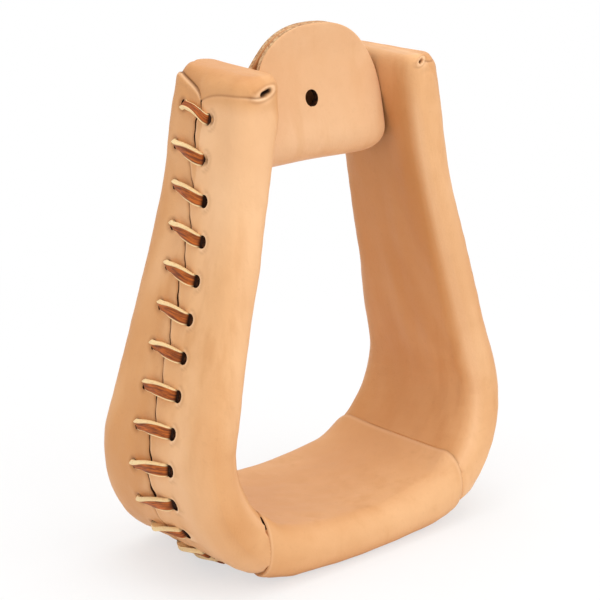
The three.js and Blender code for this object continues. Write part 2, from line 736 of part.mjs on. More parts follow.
// Measures on points along a lace's middle how near it comes to itself, and prints the gap that is left.
function printLeastGap(name, line, width, thickness) {
  const step = 0.5;
  const stations = [];
  let travelled = 0;
  for (let i = 0; i + 1 < line.length; i++) {
    const length = line[i].distanceTo(line[i + 1]);
    const count = Math.ceil(length / step);
    for (let k = 0; k < count; k++) {
      const share = k / count;
      stations.push({ point: line[i].clone().lerp(line[i + 1], share), at: travelled + length * share });
    }
    travelled += length;
  }
  let least = Infinity;
  for (let i = 0; i < stations.length; i++) {
    for (let j = i + 1; j < stations.length; j++) {
      if (stations[j].at - stations[i].at < 2 * width) continue;
      least = Math.min(least, stations[i].point.distanceTo(stations[j].point));
    }
  }
  const gap = (least - thickness).toFixed(2);
  console.log(`${name}: least gap to itself ${gap} mm over ${travelled.toFixed(0)} mm`);
}

// One stitch of a whipped seam: up through the first hole, over the seam, down through the second, and under.
function stitchPlaces(rear, front, over, under, turn) {
  const place = (back, out, share) => ({
    back,
    out,
    down: THREE.MathUtils.lerp(rear.down, front.down, share),
  });
  return [
    place(rear.back, under + turn, 0),
    place(rear.back, over - TURN_START * turn, 0),
    place(rear.back - TURN_MIDDLE * turn, over - TURN_MIDDLE * turn, 0),
    place(rear.back - TURN_START * turn, over, TURN_SHARE),
    place((rear.back + front.back) / 2, over + LACE_RISE, 0.5),
    place(front.back + TURN_START * turn, over, 1 - TURN_SHARE),
    place(front.back + TURN_MIDDLE * turn, over - TURN_MIDDLE * turn, 1),
    place(front.back, over - TURN_START * turn, 1),
    place(front.back, under + turn, 1),
    place(front.back + TURN_UNDER * turn, under, 1),
  ];
}

function armLace() {
  const over = LACE_GAP + LACE_THICKNESS / 2;
  const under = LACE_GAP + LACE_THICKNESS / 2 - WOOD_INSET;
  const turn = LACE_THICKNESS * LACE_TURN;
  const list = stitches();
  const first = list[0].rear;
  const places = [{ down: first.down + LACE_WIDTH / 2, back: first.back - LACE_TAIL, out: under }];
  for (const { rear, front } of list) {
    const arrival = { down: rear.down, back: rear.back - TURN_UNDER * turn, out: under };
    const from = places[places.length - 1];
    for (const share of [1 / 3, 2 / 3]) places.push(between(from, arrival, share));
    places.push(arrival, ...stitchPlaces(rear, front, over, under, turn));
  }
  const last = places[places.length - 1];
  places.push({ ...last, back: last.back + LACE_TAIL });
  const toPoint = ({ down, back, out }) => onOuterFace(down, back, out);
  const along = ({ down }) => alongOuterFace(down);
  printLeastGap("arm lace", places.map(toPoint), LACE_WIDTH, LACE_THICKNESS);
  return flatStrip(places, LACE_WIDTH, LACE_THICKNESS, toPoint, along);
}

// The tread sleeve

const TREAD_LACE_ROOM = TREAD_LACE_THICKNESS + 2 * TREAD_LACE_GAP;
const TREAD_CHANNEL_HALF = TREAD_STITCH_HALF_SPAN + TREAD_LACE_THICKNESS + 2 * TREAD_LACE_GAP;

function sleeveOutside(x) {
  const start = SLEEVE_HALF_LENGTH - SLEEVE_SWELL_LENGTH;
  return -SLEEVE_SWELL * smooth(Math.abs(x), start, SLEEVE_HALF_LENGTH - SLEEVE_SWELL_END);
}

function sleeveInside(x) {
  const tuckEnd = SLEEVE_HALF_LENGTH - COVER_TUCK;
  const share = smooth(Math.abs(x), tuckEnd - SLEEVE_STEP_START, tuckEnd - SLEEVE_STEP_END);
  const overWood = COVER_THICKNESS;
  const overCover = COVER_SKIVE - SLEEVE_GAP;
  return THREE.MathUtils.lerp(overWood, overCover, share);
}

function sleeveLoft(inset) {
  const places = bowPlaces(SLEEVE_END_PLACE);
  return solid(loft(places.map(({ place, side }) => ring(place, side, inset))));
}

// The height of the leather's underside, before it is cut flat.
function undersideAt(x) {
  return OUTER_BOTTOM_RADIUS - FLAT_DEPTH - Math.sqrt(OUTER_BOTTOM_RADIUS ** 2 - x ** 2);
}

function treadLace() {
  const toPoint = ({ down, back, out }) => {
    const rise = out < -COVER_THICKNESS ? undersideAt(down) + FLAT_DEPTH : 0;
    return new THREE.Vector3(down, back, rise - out);
  };
  const over = -TREAD_LACE_GAP - TREAD_LACE_THICKNESS / 2;
  const under = FLAT_DEPTH - COVER_THICKNESS - TREAD_LACE_GAP - TREAD_LACE_THICKNESS / 2;
  const turn = TREAD_LACE_THICKNESS * LACE_TURN;
  const list = treadStitches();
  const places = [{ ...list[0].rear, back: list[0].rear.back - TREAD_LACE_TAIL, out: under }];
  for (const { rear, front } of list) {
    places.push({ down: rear.down, back: rear.back - TURN_UNDER * turn, out: under });
    places.push(...stitchPlaces(rear, front, over, under, turn));
  }
  const last = list[list.length - 1].front;
  places.push({ ...last, back: last.back + TREAD_LACE_TAIL, out: under });
  const alongX = () => new THREE.Vector3(1, 0, 0);
  printLeastGap("tread lace", places.map(toPoint), TREAD_LACE_WIDTH, TREAD_LACE_THICKNESS);
  return flatStrip(places, TREAD_LACE_WIDTH, TREAD_LACE_THICKNESS, toPoint, alongX);
}

function treadStitches() {
  return Array.from({ length: TREAD_STITCH_COUNT }, (_, i) => {
    const x = (i - (TREAD_STITCH_COUNT - 1) / 2) * TREAD_STITCH_PITCH;
    return {
      rear: { down: x, back: TREAD_STITCH_HALF_SPAN },
      front: { down: x, back: -TREAD_STITCH_HALF_SPAN },
    };
  });
}

function treadCover() {
  const far = new THREE.Vector3(SLEEVE_HALF_LENGTH, FAR, FAR);
  const near = new THREE.Vector3(-SLEEVE_HALF_LENGTH, -FAR, 0);
  let cover = sleeveLoft((point) => sleeveOutside(point.x));
  cover = cover.subtract(sleeveLoft((point) => sleeveInside(point.x))).intersect(solid(box(near, far)));
  const channel = (half, depth) =>
    solid(box(new THREE.Vector3(-FAR, -half, -REACH), new THREE.Vector3(FAR, half, depth)));
  cover = cover.subtract(channel(TREAD_CHANNEL_HALF, TREAD_LACE_ROOM));
  cover = cover.subtract(channel(SEAM_GAP / 2, 2 * COVER_THICKNESS));
  for (const { rear, front } of treadStitches()) {
    for (const { down, back } of [rear, front]) {
      const hole = new THREE.CylinderGeometry(1, 1, 4 * COVER_THICKNESS, 8).rotateX(Math.PI / 2);
      hole.scale(TREAD_LACE_WIDTH / 2 + HOLE_END_GAP, TREAD_LACE_THICKNESS / 2 + HOLE_SIDE_GAP, 1);
      hole.translate(down, back, 0);
      cover = cover.subtract(solid(hole));
    }
  }
  return cover;
}

// Bar

function stirrupBolt() {
  const headFrom = -SEAT_HALF - WASHER_THICKNESS - 2 * SEAT_GAP;
  const end = SEAT_HALF + WASHER_THICKNESS + 2 * SEAT_GAP + NUT_HEIGHT + BOLT_END;
  const half = BOLT_DIAMETER / 2;
  const head = BOLT_HEAD_DIAMETER / 2;
  const outline = [
    ...BOLT_HEAD_DOME.map(([out, up]) => [head * out, headFrom - BOLT_HEAD_HEIGHT * up]),
    [head, headFrom],
    [half, headFrom],
    [half, end - BOLT_CHAMFER],
    [half - BOLT_CHAMFER, end],
    [0, end],
  ].map(([radius, along]) => new THREE.Vector2(radius, along));
  return new THREE.LatheGeometry(outline, ROUND_STEPS).rotateZ(-Math.PI / 2).translate(0, 0, BAR_HEIGHT);
}

function hexNut() {
  const shape = new THREE.Shape();
  for (let i = 0; i < 6; i++) {
    const angle = (i * Math.PI) / 3;
    const reach = NUT_WIDTH / Math.sqrt(3);
    shape[i ? "lineTo" : "moveTo"](reach * Math.cos(angle), reach * Math.sin(angle));
  }
  const bore = new THREE.Path().absarc(0, 0, BORE, 0, 2 * Math.PI, true);
  shape.holes.push(bore);
  const settings = { depth: NUT_HEIGHT, bevelEnabled: false, curveSegments: 12 };
  const geometry = new THREE.ExtrudeGeometry(shape, settings).rotateY(Math.PI / 2);
  return geometry.translate(SEAT_HALF + WASHER_THICKNESS + 2 * SEAT_GAP, 0, BAR_HEIGHT);
}

// A tube along X.
function tube(inner, outer, from, to) {
  const corners = [[inner, from], [outer, from], [outer, to], [inner, to], [inner, from]];
  const outline = corners.map(([radius, along]) => new THREE.Vector2(radius, along));
  return new THREE.LatheGeometry(outline, ROUND_STEPS).rotateZ(-Math.PI / 2).translate(0, 0, BAR_HEIGHT);
}

const ROLLER_HALF_LENGTH = innerHalfAt(BAR_HEIGHT + ROLLER_DIAMETER / 2) - ROLLER_END_GAP;

function washer() {
  const from = SEAT_HALF + SEAT_GAP;
  return tube(BORE, WASHER_DIAMETER / 2, from, from + WASHER_THICKNESS);
}

function roller() {
  return tube(BORE, ROLLER_DIAMETER / 2, -ROLLER_HALF_LENGTH, ROLLER_HALF_LENGTH);
}

// The pad's side view, along its middle layer from the front top, round under the tube, to the back top.
function padLine() {
  const fold = ROLLER_DIAMETER / 2 + PAD_GAP + PAD_THICKNESS / 2;
  const half = (PAD_THICKNESS + PAD_LAYER_GAP) / 2;
  const leave = Math.asin((fold - half) / Math.hypot(fold, PAD_JOIN_HEIGHT));
  const front = [new THREE.Vector2(-half, PAD_HEIGHT)];
  const upper = 9;
  for (let i = 1; i <= upper; i++) {
    const share = i / upper;
    front.push(new THREE.Vector2(-half, THREE.MathUtils.lerp(PAD_HEIGHT, PAD_JOIN_HEIGHT, share)));
  }
  const tangent = new THREE.Vector2(-fold * Math.cos(leave), fold * Math.sin(leave));
  const slope = 6;
  for (let i = 1; i < slope; i++) {
    front.push(new THREE.Vector2(-half, PAD_JOIN_HEIGHT).lerp(tangent, i / slope));
  }
  const turn = 9;
  for (let i = 0; i < turn; i++) {
    const angle = THREE.MathUtils.lerp(-leave, Math.PI / 2, i / turn);
    front.push(new THREE.Vector2(-fold * Math.cos(angle), -fold * Math.sin(angle)));
  }
  const back = front.slice().reverse().map((point) => new THREE.Vector2(-point.x, point.y));
  return [...front, new THREE.Vector2(0, -fold), ...back];
}

// The pad's half width at a height above the bar, or at a length from the fold within the lower corners.
function padHalfWidth(height, fromFold) {
  if (fromFold < PAD_LOWER_CORNER) {
    const rest = PAD_LOWER_CORNER - fromFold;
    return PAD_HALF_WIDTH - PAD_LOWER_CORNER + Math.sqrt(PAD_LOWER_CORNER ** 2 - rest ** 2);
  }
  const share = Math.max(height - PAD_SHOULDER, 0) / (PAD_HEIGHT - PAD_SHOULDER);
  const round = (1 - Math.min(share, 1) ** PAD_ROUNDNESS) ** (1 / PAD_ROUNDNESS);
  return Math.max(PAD_HALF_WIDTH * round, PAD_TIP_HALF_WIDTH);
}

function barPad() {
  const line = padLine();
  const lengths = [0];
  for (let i = 1; i < line.length; i++) lengths.push(lengths[i - 1] + line[i].distanceTo(line[i - 1]));
  const middle = lengths[(line.length - 1) / 2];
  const rings = line.map((point, i) => {
    const way = line[Math.min(i + 1, line.length - 1)].clone().sub(line[Math.max(i - 1, 0)]).normalize();
    const flat = new THREE.Vector2(-way.y, way.x).multiplyScalar(PAD_THICKNESS / 2);
    const half = padHalfWidth(point.y, Math.abs(lengths[i] - middle));
    return [[-1, -1], [1, -1], [1, 1], [-1, 1]].map(
      ([w, t]) => new THREE.Vector3(w * half, point.x + t * flat.x, point.y + t * flat.y),
    );
  });
  const hole = new THREE.CylinderGeometry(PAD_HOLE_DIAMETER / 2, PAD_HOLE_DIAMETER / 2, FAR, 16);
  hole.translate(PAD_HOLE_SIDE, 0, PAD_HOLE_HEIGHT);
  const pad = solid(loft(rings)).subtract(solid(hole));
  return geometryOf(pad).rotateX(radians(PAD_LEAN)).translate(0, 0, BAR_HEIGHT);
}

// The stirrup

const stirrup = new THREE.Group();
const cover = armCover();
const lace = armLace();
stirrup.add(...bowStrips());
stirrup.add(piece("right_arm_cover", cover, LEATHER));
stirrup.add(piece("left_arm_cover", mirrored(cover), LEATHER));
stirrup.add(piece("right_arm_lace", lace, LACE_LEATHER));
stirrup.add(piece("left_arm_lace", mirrored(lace), LACE_LEATHER));
stirrup.add(piece("tread_cover", geometryOf(treadCover()), LEATHER));
stirrup.add(piece("tread_lace", treadLace(), LACE_LEATHER));
stirrup.add(piece("stirrup_bolt", stirrupBolt(), STEEL));
stirrup.add(piece("bolt_nut", hexNut(), STEEL));
stirrup.add(piece("right_washer", washer(), STEEL));
stirrup.add(piece("left_washer", washer().rotateZ(Math.PI), STEEL));
stirrup.add(piece("bar_roller", roller(), STEEL));
stirrup.add(piece("bar_pad", barPad(), LEATHER));

export default stirrup;
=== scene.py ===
"""The looks of a leather-covered stirrup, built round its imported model.

Sizes are in millimetres in the classes and become metres when a mesh is made.
Z is up, X runs from one arm to the other and the rider's foot comes in from the front, which is -Y.
Most pieces are worked out for the right arm, and the left arm's are their mirror images.
"""

import json
import logging
import math
from dataclasses import dataclass, field
from enum import Enum
from typing import Any, Callable

import bpy
import numpy as np
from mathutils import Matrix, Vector

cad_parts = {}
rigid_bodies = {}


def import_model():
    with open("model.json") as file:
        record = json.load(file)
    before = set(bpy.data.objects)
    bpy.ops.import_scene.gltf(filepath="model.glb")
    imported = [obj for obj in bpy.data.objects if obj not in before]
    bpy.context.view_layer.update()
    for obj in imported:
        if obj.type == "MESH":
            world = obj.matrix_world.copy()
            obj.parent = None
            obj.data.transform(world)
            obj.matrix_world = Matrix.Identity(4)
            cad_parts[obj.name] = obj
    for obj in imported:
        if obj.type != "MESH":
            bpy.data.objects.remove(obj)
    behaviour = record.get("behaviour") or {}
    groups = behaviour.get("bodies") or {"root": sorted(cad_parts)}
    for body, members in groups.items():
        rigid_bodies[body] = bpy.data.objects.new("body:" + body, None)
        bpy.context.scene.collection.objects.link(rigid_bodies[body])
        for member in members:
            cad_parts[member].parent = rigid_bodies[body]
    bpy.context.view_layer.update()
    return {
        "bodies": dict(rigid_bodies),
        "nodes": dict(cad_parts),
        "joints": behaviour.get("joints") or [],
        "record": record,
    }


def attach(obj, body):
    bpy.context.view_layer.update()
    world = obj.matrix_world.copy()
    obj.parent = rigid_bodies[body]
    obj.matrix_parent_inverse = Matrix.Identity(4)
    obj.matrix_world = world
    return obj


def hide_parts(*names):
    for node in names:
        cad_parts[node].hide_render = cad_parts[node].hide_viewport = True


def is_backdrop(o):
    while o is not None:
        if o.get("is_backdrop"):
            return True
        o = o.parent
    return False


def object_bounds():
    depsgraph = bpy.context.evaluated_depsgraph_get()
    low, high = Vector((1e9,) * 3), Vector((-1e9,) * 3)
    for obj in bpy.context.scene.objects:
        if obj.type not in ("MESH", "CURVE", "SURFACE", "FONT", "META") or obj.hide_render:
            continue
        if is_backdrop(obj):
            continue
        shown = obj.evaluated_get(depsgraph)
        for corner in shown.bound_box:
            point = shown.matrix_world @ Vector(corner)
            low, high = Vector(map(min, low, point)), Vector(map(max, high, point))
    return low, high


Array = np.ndarray
LOG = logging.getLogger("stirrup")
MM = 0.001


class Body(Enum):
    """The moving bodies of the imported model."""

    FRAME = "frame"
    ROLLER = "roller"
    PAD = "pad"


class Arm(Enum):
    """The two arms, each with the sign of its X side."""

    RIGHT = 1
    LEFT = -1

    @property
    def label(self) -> str:
        """The word that starts the names of the arm's pieces."""
        return self.name.lower()


# Curves in numbers


def smooth(value: Array, low: float, high: float) -> Array:
    """A soft step that rises from 0 at low to 1 at high with level ends."""
    share = np.clip((value - low) / (high - low), 0, 1)
    return share * share * (3 - 2 * share)


def bell(value: Array, width: float) -> Array:
    """A bump of height 1 at 0 that falls off over the width: exp of minus the square of value over width."""
    return np.exp(-np.square(value / width))


def lesser(first: Array | float, second: Array | float, softness: float) -> Array:
    """The lesser of two values, softly: half of sum less the root of the squares of difference and softness."""
    return (first + second - np.sqrt(np.square(first - second) + softness**2)) / 2


def ray(angle: Array) -> Array:
    """Cosine and sine of an angle in the last axis."""
    return np.stack([np.cos(angle), np.sin(angle)], -1)


def unit(ways: Array) -> Array:
    """The ways in the last axis, each with length 1."""
    return ways / np.maximum(np.linalg.norm(ways, axis=-1, keepdims=True), 1e-9)


def lengths_along(path: Array) -> Array:
    """The length from a path's start to each of its points."""
    return np.concatenate([[0], np.cumsum(np.linalg.norm(np.diff(path, axis=0), axis=1))])


def unevenness(across: Array, along: Array, seed: int, lengths: tuple[float, float] = (19, 60)) -> Array:
    """Soft handmade unevenness of about -1 to 1: a sum of six sine waves in random directions.

    Args:
        across: First coordinate, in millimetres.
        along: Second coordinate, in millimetres.
        seed: Number that fixes the waves.
        lengths: Shortest and longest wave, in millimetres.

    Returns:
        One value for each point.
    """
    source = np.random.default_rng(seed)
    total = np.zeros(np.broadcast(across, along).shape)
    count = 6
    for _ in range(count):
        turn, phase = source.uniform(0, 2 * math.pi, 2)
        length = source.uniform(*lengths)
        total += np.sin((across * math.cos(turn) + along * math.sin(turn)) * 2 * math.pi / length + phase)
    return total / count**0.5


@dataclass(frozen=True)
class SideLine:
    """One side of the bow in its side view: an arm line, a corner arc and a bottom arc.

    A place is 0 in the middle of the tread, 1 and 2 at the ends of the corner arc and 3 at the arm's top.
    Above the flare's height the line turns outwards.
    """

    top_half: float
    lean: float
    corner_radius: float
    bottom_radius: float
    bottom_height: float
    flare: float
    flare_height: float
    arm_height: float = 196
    flare_softness: float = 9.8

    def at(self, place: Array) -> Array:
        """Points of the line, as X and Z in the last axis.

        Args:
            place: Places from 0 to 3.

        Returns:
            An array with one more axis than place.
        """
        lean = math.radians(self.lean)
        along = np.array([math.sin(lean), -math.cos(lean)])
        inward = np.array([-math.cos(lean), -math.sin(lean)])
        top = np.array([self.top_half, self.arm_height])
        bottom_centre = np.array([0, self.bottom_height + self.bottom_radius])
        offset = top + inward * self.corner_radius - bottom_centre
        reach = self.bottom_radius - self.corner_radius
        middle = offset @ along
        length = -middle + math.sqrt(middle**2 - offset @ offset + reach**2)
        corner_centre = top + along * length + inward * self.corner_radius
        join = math.atan2(*(corner_centre - bottom_centre)[::-1])
        arm = math.atan2(-inward[1], -inward[0])
        on_bottom = np.clip(place, 0, 1)
        on_corner = np.clip(place - 1, 0, 1)
        bottom = bottom_centre + self.bottom_radius * ray(-math.pi / 2 + (join + math.pi / 2) * on_bottom)
        corner = corner_centre + self.corner_radius * ray(join + (arm - join) * on_corner)
        straight = top + along * length * (3 - place)[..., None]
        point = np.where((place <= 1)[..., None], bottom, np.where((place <= 2)[..., None], corner, straight))
        # The flare is a ramp with a soft start: softness times the logarithm of 1 plus e to this power.
        over = (point[..., 1] - self.flare_height) / self.flare_softness
        point[..., 0] += self.flare * self.flare_softness * np.log1p(np.exp(over))
        return point


@dataclass(frozen=True)
class Bow:
    """The leather's outside as a smooth surface round the right half of the bow."""

    inner: SideLine = SideLine(26.2, 14.83, 33.5, 189, 18.1, 0.22, 172)
    outer: SideLine = SideLine(45.6, 14.92, 48.9, 820, -0.4, 0.113, 145.3)
    arm_height: float = 196
    neck_depth: float = 45.7
    waist_depth: float = 60.4
    waist_height: float = 98
    tread_depth: float = 79.4
    tread_depth_height: float = 15.7
    edge_radius: float = 11
    neck_edge_radius: float = 8.2
    edge_change: tuple[float, float] = (150, 185)
    roundest_edge: float = 0.49

    def depth_at(self, height: Array) -> Array:
        """Depth from front to back at a height: the parabola through the three named depths."""
        known = [
            (self.arm_height, self.neck_depth),
            (self.waist_height, self.waist_depth),
            (self.tread_depth_height, self.tread_depth),
        ]
        total = np.zeros_like(height)
        for own, depth in known:
            weight = depth
            for other, _ in known:
                if other != own:
                    weight = weight * (height - other) / (own - other)
            total = total + weight
        return total

    def section(self, place: Array) -> dict[str, Array]:
        """The cross-section at each place: a rounded rectangle from the inner line to the outer one.

        Args:
            place: Places from 0 to 3.

        Returns:
            centre and out as X and Z, half of each flat side as flat_across and flat_deep, and radius.
        """
        inner, outer = self.inner.at(place), self.outer.at(place)
        across = outer - inner
        thickness = np.linalg.norm(across, axis=-1)
        centre = (inner + outer) / 2
        half_depth = self.depth_at(centre[..., 1]) / 2
        change = smooth(centre[..., 1], *self.edge_change)
        radius = self.edge_radius + (self.neck_edge_radius - self.edge_radius) * change
        radius = lesser(radius, self.roundest_edge * thickness, 0.6)
        return {
            "centre": centre,
            "out": across / thickness[..., None],
            "flat_across": thickness / 2 - radius,
            "flat_deep": half_depth - radius,
            "radius": radius,
        }

    def girth(self, place: Array) -> Array:
        """The length once round the cross-section at each place."""
        part = self.section(place)
        return 4 * (part["flat_across"] + part["flat_deep"]) + 2 * math.pi * part["radius"]

    def point(self, place: Array, around: Array, inset: Array | float = 0) -> Array:
        """Points of the surface.

        The way round starts on the outer face's middle line and goes first to the front. The centre of the
        rounding moves along the flats, and its angle turns along the arcs.

        Args:
            place: Places from 0 to 3.
            around: Way round the cross-section, in millimetres.
            inset: Depth under the surface, square to it in the plane of the section.

        Returns:
            X, Y and Z in the last axis.
        """
        part = self.section(place)
        across, deep, radius = part["flat_across"], part["flat_deep"], part["radius"]
        arc = radius * math.pi / 2
        way = np.mod(around, 4 * (across + deep + arc))
        steps = [deep, arc, 2 * across, arc, 2 * deep, arc, 2 * across, arc, deep]
        gone = []
        for step in steps:
            gone.append(np.clip(way, 0, step))
            way = way - step
        angle = (gone[1] + gone[3] + gone[5] + gone[7]) / radius
        level = across - gone[2] + gone[6]
        back = -gone[0] + gone[4] - gone[8]
        reach = radius - inset
        level = level + reach * np.cos(angle)
        flat = part["centre"] + part["out"] * level[..., None]
        return np.stack([flat[..., 0], back - reach * np.sin(angle), flat[..., 1]], -1)

    def front_middle(self, place: Array) -> Array:
        """The way round to the middle of the front face."""
        part = self.section(place)
        return part["flat_deep"] + part["radius"] * math.pi / 2 + part["flat_across"]

    def outward(self, place: Array, around: Array) -> Array:
        """How far out a way round lies: 1 on the outer face, 0 in mid thickness and -1 on the inner face."""
        part = self.section(place)
        point = self.point(place, around)[..., [0, 2]]
        reach = part["flat_across"] + part["radius"]
        return np.sum((point - part["centre"]) * part["out"], -1) / reach


BOW = Bow()


@dataclass(frozen=True)
class OuterLine:
    """The outer face's middle line, measured from the top of the arm down."""

    places: Array = field(default_factory=lambda: np.linspace(3, 0.2, 5001))

    @property
    def points(self) -> Array:
        """X and Z along the line."""
        return BOW.outer.at(self.places)

    @property
    def lengths(self) -> Array:
        """The length from the top to each of the points."""
        return lengths_along(self.points)

    def place_at(self, down: Array) -> Array:
        """The place at a length from the top."""
        return np.interp(down, self.lengths, self.places)

    def place_at_height(self, height: Array) -> Array:
        """The place where the outer line has a height, on the arm."""
        points = self.points
        return np.interp(height, points[::-1, 1], self.places[::-1])

    def down_at_width(self, width: float) -> float:
        """How far down the line comes back to a distance from the middle of the stirrup."""
        wide = np.nonzero(self.points[:, 0] > width)[0]
        return float(self.lengths[wide[-1]])


OUTER_LINE = OuterLine()


@dataclass(frozen=True)
class ArmSkin:
    """The arm's outside as a surface of down and around, with or without the roll over its top.

    Down is the length along the outer face from the arm's top. Rolled, the surface leaves the straight arm at
    the roll's height, bends over on a quarter ellipse and ends level. Not rolled, it goes straight on up. The
    squareness keeps the roll's rear and front corners full, and the back lift raises it towards the rear.
    """

    roll_height: float = 190.8
    roll_length: float = 10
    level_length: float = 2.5
    rise: float = 7.2
    depth: float = 5.4
    outer_depth: float = 1.2
    level_inset: float = 7.9
    back_lift: float = 0.045
    rear_squareness: float = 0.9
    front_squareness: float = 0.4

    @property
    def roll_start(self) -> float:
        """Down where the roll leaves the straight arm."""
        place = OUTER_LINE.place_at_height(np.array(self.roll_height))
        return float(np.interp(-place, -OUTER_LINE.places, OUTER_LINE.lengths))

    def point(self, down: Array, around: Array, rolled: bool = False, inset: Array | float = 0) -> Array:
        """Points of the surface.

        Args:
            down: Length down the outer face.
            around: Way round the cross-section.
            rolled: Whether the top is rolled over.
            inset: Extra depth under the surface, which fades out over the roll.

        Returns:
            X, Y and Z in the last axis.
        """
        if not rolled:
            points = BOW.point(OUTER_LINE.place_at(np.maximum(down, 0)), around, inset)
            points[..., 2] += np.maximum(-down, 0)
            return points
        gone = np.clip((self.roll_start - down) / self.roll_length, 0, None)
        angle = np.minimum(gone, 1) * math.pi / 2
        level = np.clip((gone - 1) * self.roll_length / self.level_length, 0, 1)
        height = self.roll_height + self.rise * np.sin(angle)
        place = np.where(gone > 0, OUTER_LINE.place_at_height(height), OUTER_LINE.place_at(down))
        y = BOW.point(place, around)[..., 1]
        square = self.rear_squareness * smooth(y, 5, 20) + self.front_squareness * smooth(-y, 5, 20)
        deep = self.depth + self.outer_depth * BOW.outward(place, around) - square
        total = deep * (1 - np.cos(angle)) + inset * np.cos(angle)
        total = total + (self.level_inset - square - total) * level
        points = BOW.point(place, around, total)
        over = np.maximum(height - BOW.arm_height, 0) * (gone > 0)
        points[..., 2] += over + self.back_lift * points[..., 1] * np.sin(angle)
        return points

    def normal(self, down: Array, around: Array, rolled: bool = False) -> Array:
        """Unit normals out of the surface: the cross product of its two slopes."""
        step = 0.05
        slope_down = self.point(down + step, around, rolled) - self.point(down - step, around, rolled)
        slope_around = self.point(down, around + step, rolled) - self.point(down, around - step, rolled)
        return unit(np.cross(slope_around, slope_down))


@dataclass(frozen=True)
class TopShape:
    """What differs between the two arms' tops: the roll, the slits and how low the front wing's rim lies."""

    skin: ArmSkin
    slit_down: float
    slit_inward: float
    slit_tilt: float
    front_rim: float
    slit_size: float


SKIN = ArmSkin()
TOPS = {
    Arm.LEFT: TopShape(SKIN, 4.4, -0.3, 18, 5.6, 1),
    Arm.RIGHT: TopShape(ArmSkin(rise=7.0, back_lift=0.04, front_squareness=1.2), 0.9, 2, -35, 1.2, 0.62),
}


# Stitches, as places on the outer face


@dataclass(frozen=True)
class Stitch:
    """One pass of the lace over the seam: where its ends show, how it is turned and how high it stands.

    A shallow stitch has a dimple in place of its front hole.
    """

    rear_down: float
    rear_back: float
    front_down: float
    front_back: float
    tilt: float
    shallow: bool
    lift: float


@dataclass(frozen=True)
class ArmSeam:
    """The laced seam down an arm's outer face."""

    gap: float = 0.62
    wander: float = 4.2
    wander_place: float = 28
    wander_length: float = 20
    foot_wander: float = 2.1
    foot_place: float = 176
    foot_length: float = 9
    saw: float = 1.0
    count: int = 14
    start: float = 14.2
    pitch: float = 15.15
    half_span: float = 8.9
    first_shorter: float = 1.0
    wider: float = 2.4
    wider_places: tuple[float, float] = (85, 170)
    stitch_shift: float = 2.3
    stitch_drift: float = 0.024
    shallow_count: int = 2
    least_slant: float = -4.5
    last_gap: float = 4.9
    sleeve_half_length: float = 51.5
    front_reach: float = 3.6
    open_place: float = 161.5
    tilt: float = 48

    @property
    def sleeve_down(self) -> float:
        """Down where the tread's sleeve starts."""
        return OUTER_LINE.down_at_width(self.sleeve_half_length)

    def sleeve_end(self, y: Array, arm: Arm) -> Array:
        """How far from the middle the tread's sleeve ends: its left end reaches farther in front."""
        return self.sleeve_half_length + (self.front_reach * smooth(-y, 20, 34) if arm is Arm.LEFT else 0)

    def middle(self, down: Array) -> Array:
        """How far back the seam lies, but for its waves: a bell near the top and one near the foot."""
        top = self.wander * bell(down - self.wander_place, self.wander_length)
        return top + self.foot_wander * bell(down - self.foot_place, self.foot_length)

    def offset(self, down: Array) -> Array:
        """How far back the seam lies: each stitch pulls it back, and between them it comes forward again."""
        turn = (down - self.start) / self.pitch * 2 * math.pi
        wave = np.sin(turn) + 0.4 * np.sin(2 * turn)
        return self.middle(down) + self.saw * wave * smooth(down, 9, 18)

    def half_gap(self, down: Array) -> Array:
        """Half the seam's open width: nearly closed, with one place that gapes and an open end."""
        wave = 0.08 * np.sin(down * 0.83) + 0.06 * np.sin(down * 0.31 + 1)
        gape = 0.75 * bell(down - self.open_place, 2.4) + 0.8 * bell(down - self.sleeve_down, 2.5)
        return self.gap / 2 + wave + gape

    def slant(self, down: float) -> float:
        """How much lower a stitch's front end lies than its rear end: most near the top, less than 0 below."""
        return max(3.2 + 0.03 * down - 0.00048 * down**2, self.least_slant)

    def stitches(self) -> list[Stitch]:
        """Every stitch, from the top of the arm down, drifting forward and growing wider on the way."""
        last = self.sleeve_down - self.last_gap
        made = []
        for number in range(self.count):
            down = min(self.start + self.pitch * number, last)
            slant = self.slant(down)
            middle = float(self.middle(np.array(down))) + self.stitch_shift - self.stitch_drift * down
            half = self.half_span + self.wider * float(smooth(np.array(down), *self.wider_places))
            half -= self.first_shorter if number == 0 else 0
            tilt = -self.tilt if number == 0 else self.tilt * (1 + 0.13 * math.sin(2.4 * number))
            ends = (down - slant / 2, middle + half, down + slant / 2, middle - half)
            lift = 1 - 0.6 * float(smooth(np.array(number), 9, 12.5))
            made.append(Stitch(*ends, tilt, number < self.shallow_count, lift))
        return made


SEAM = ArmSeam()


# Meshes


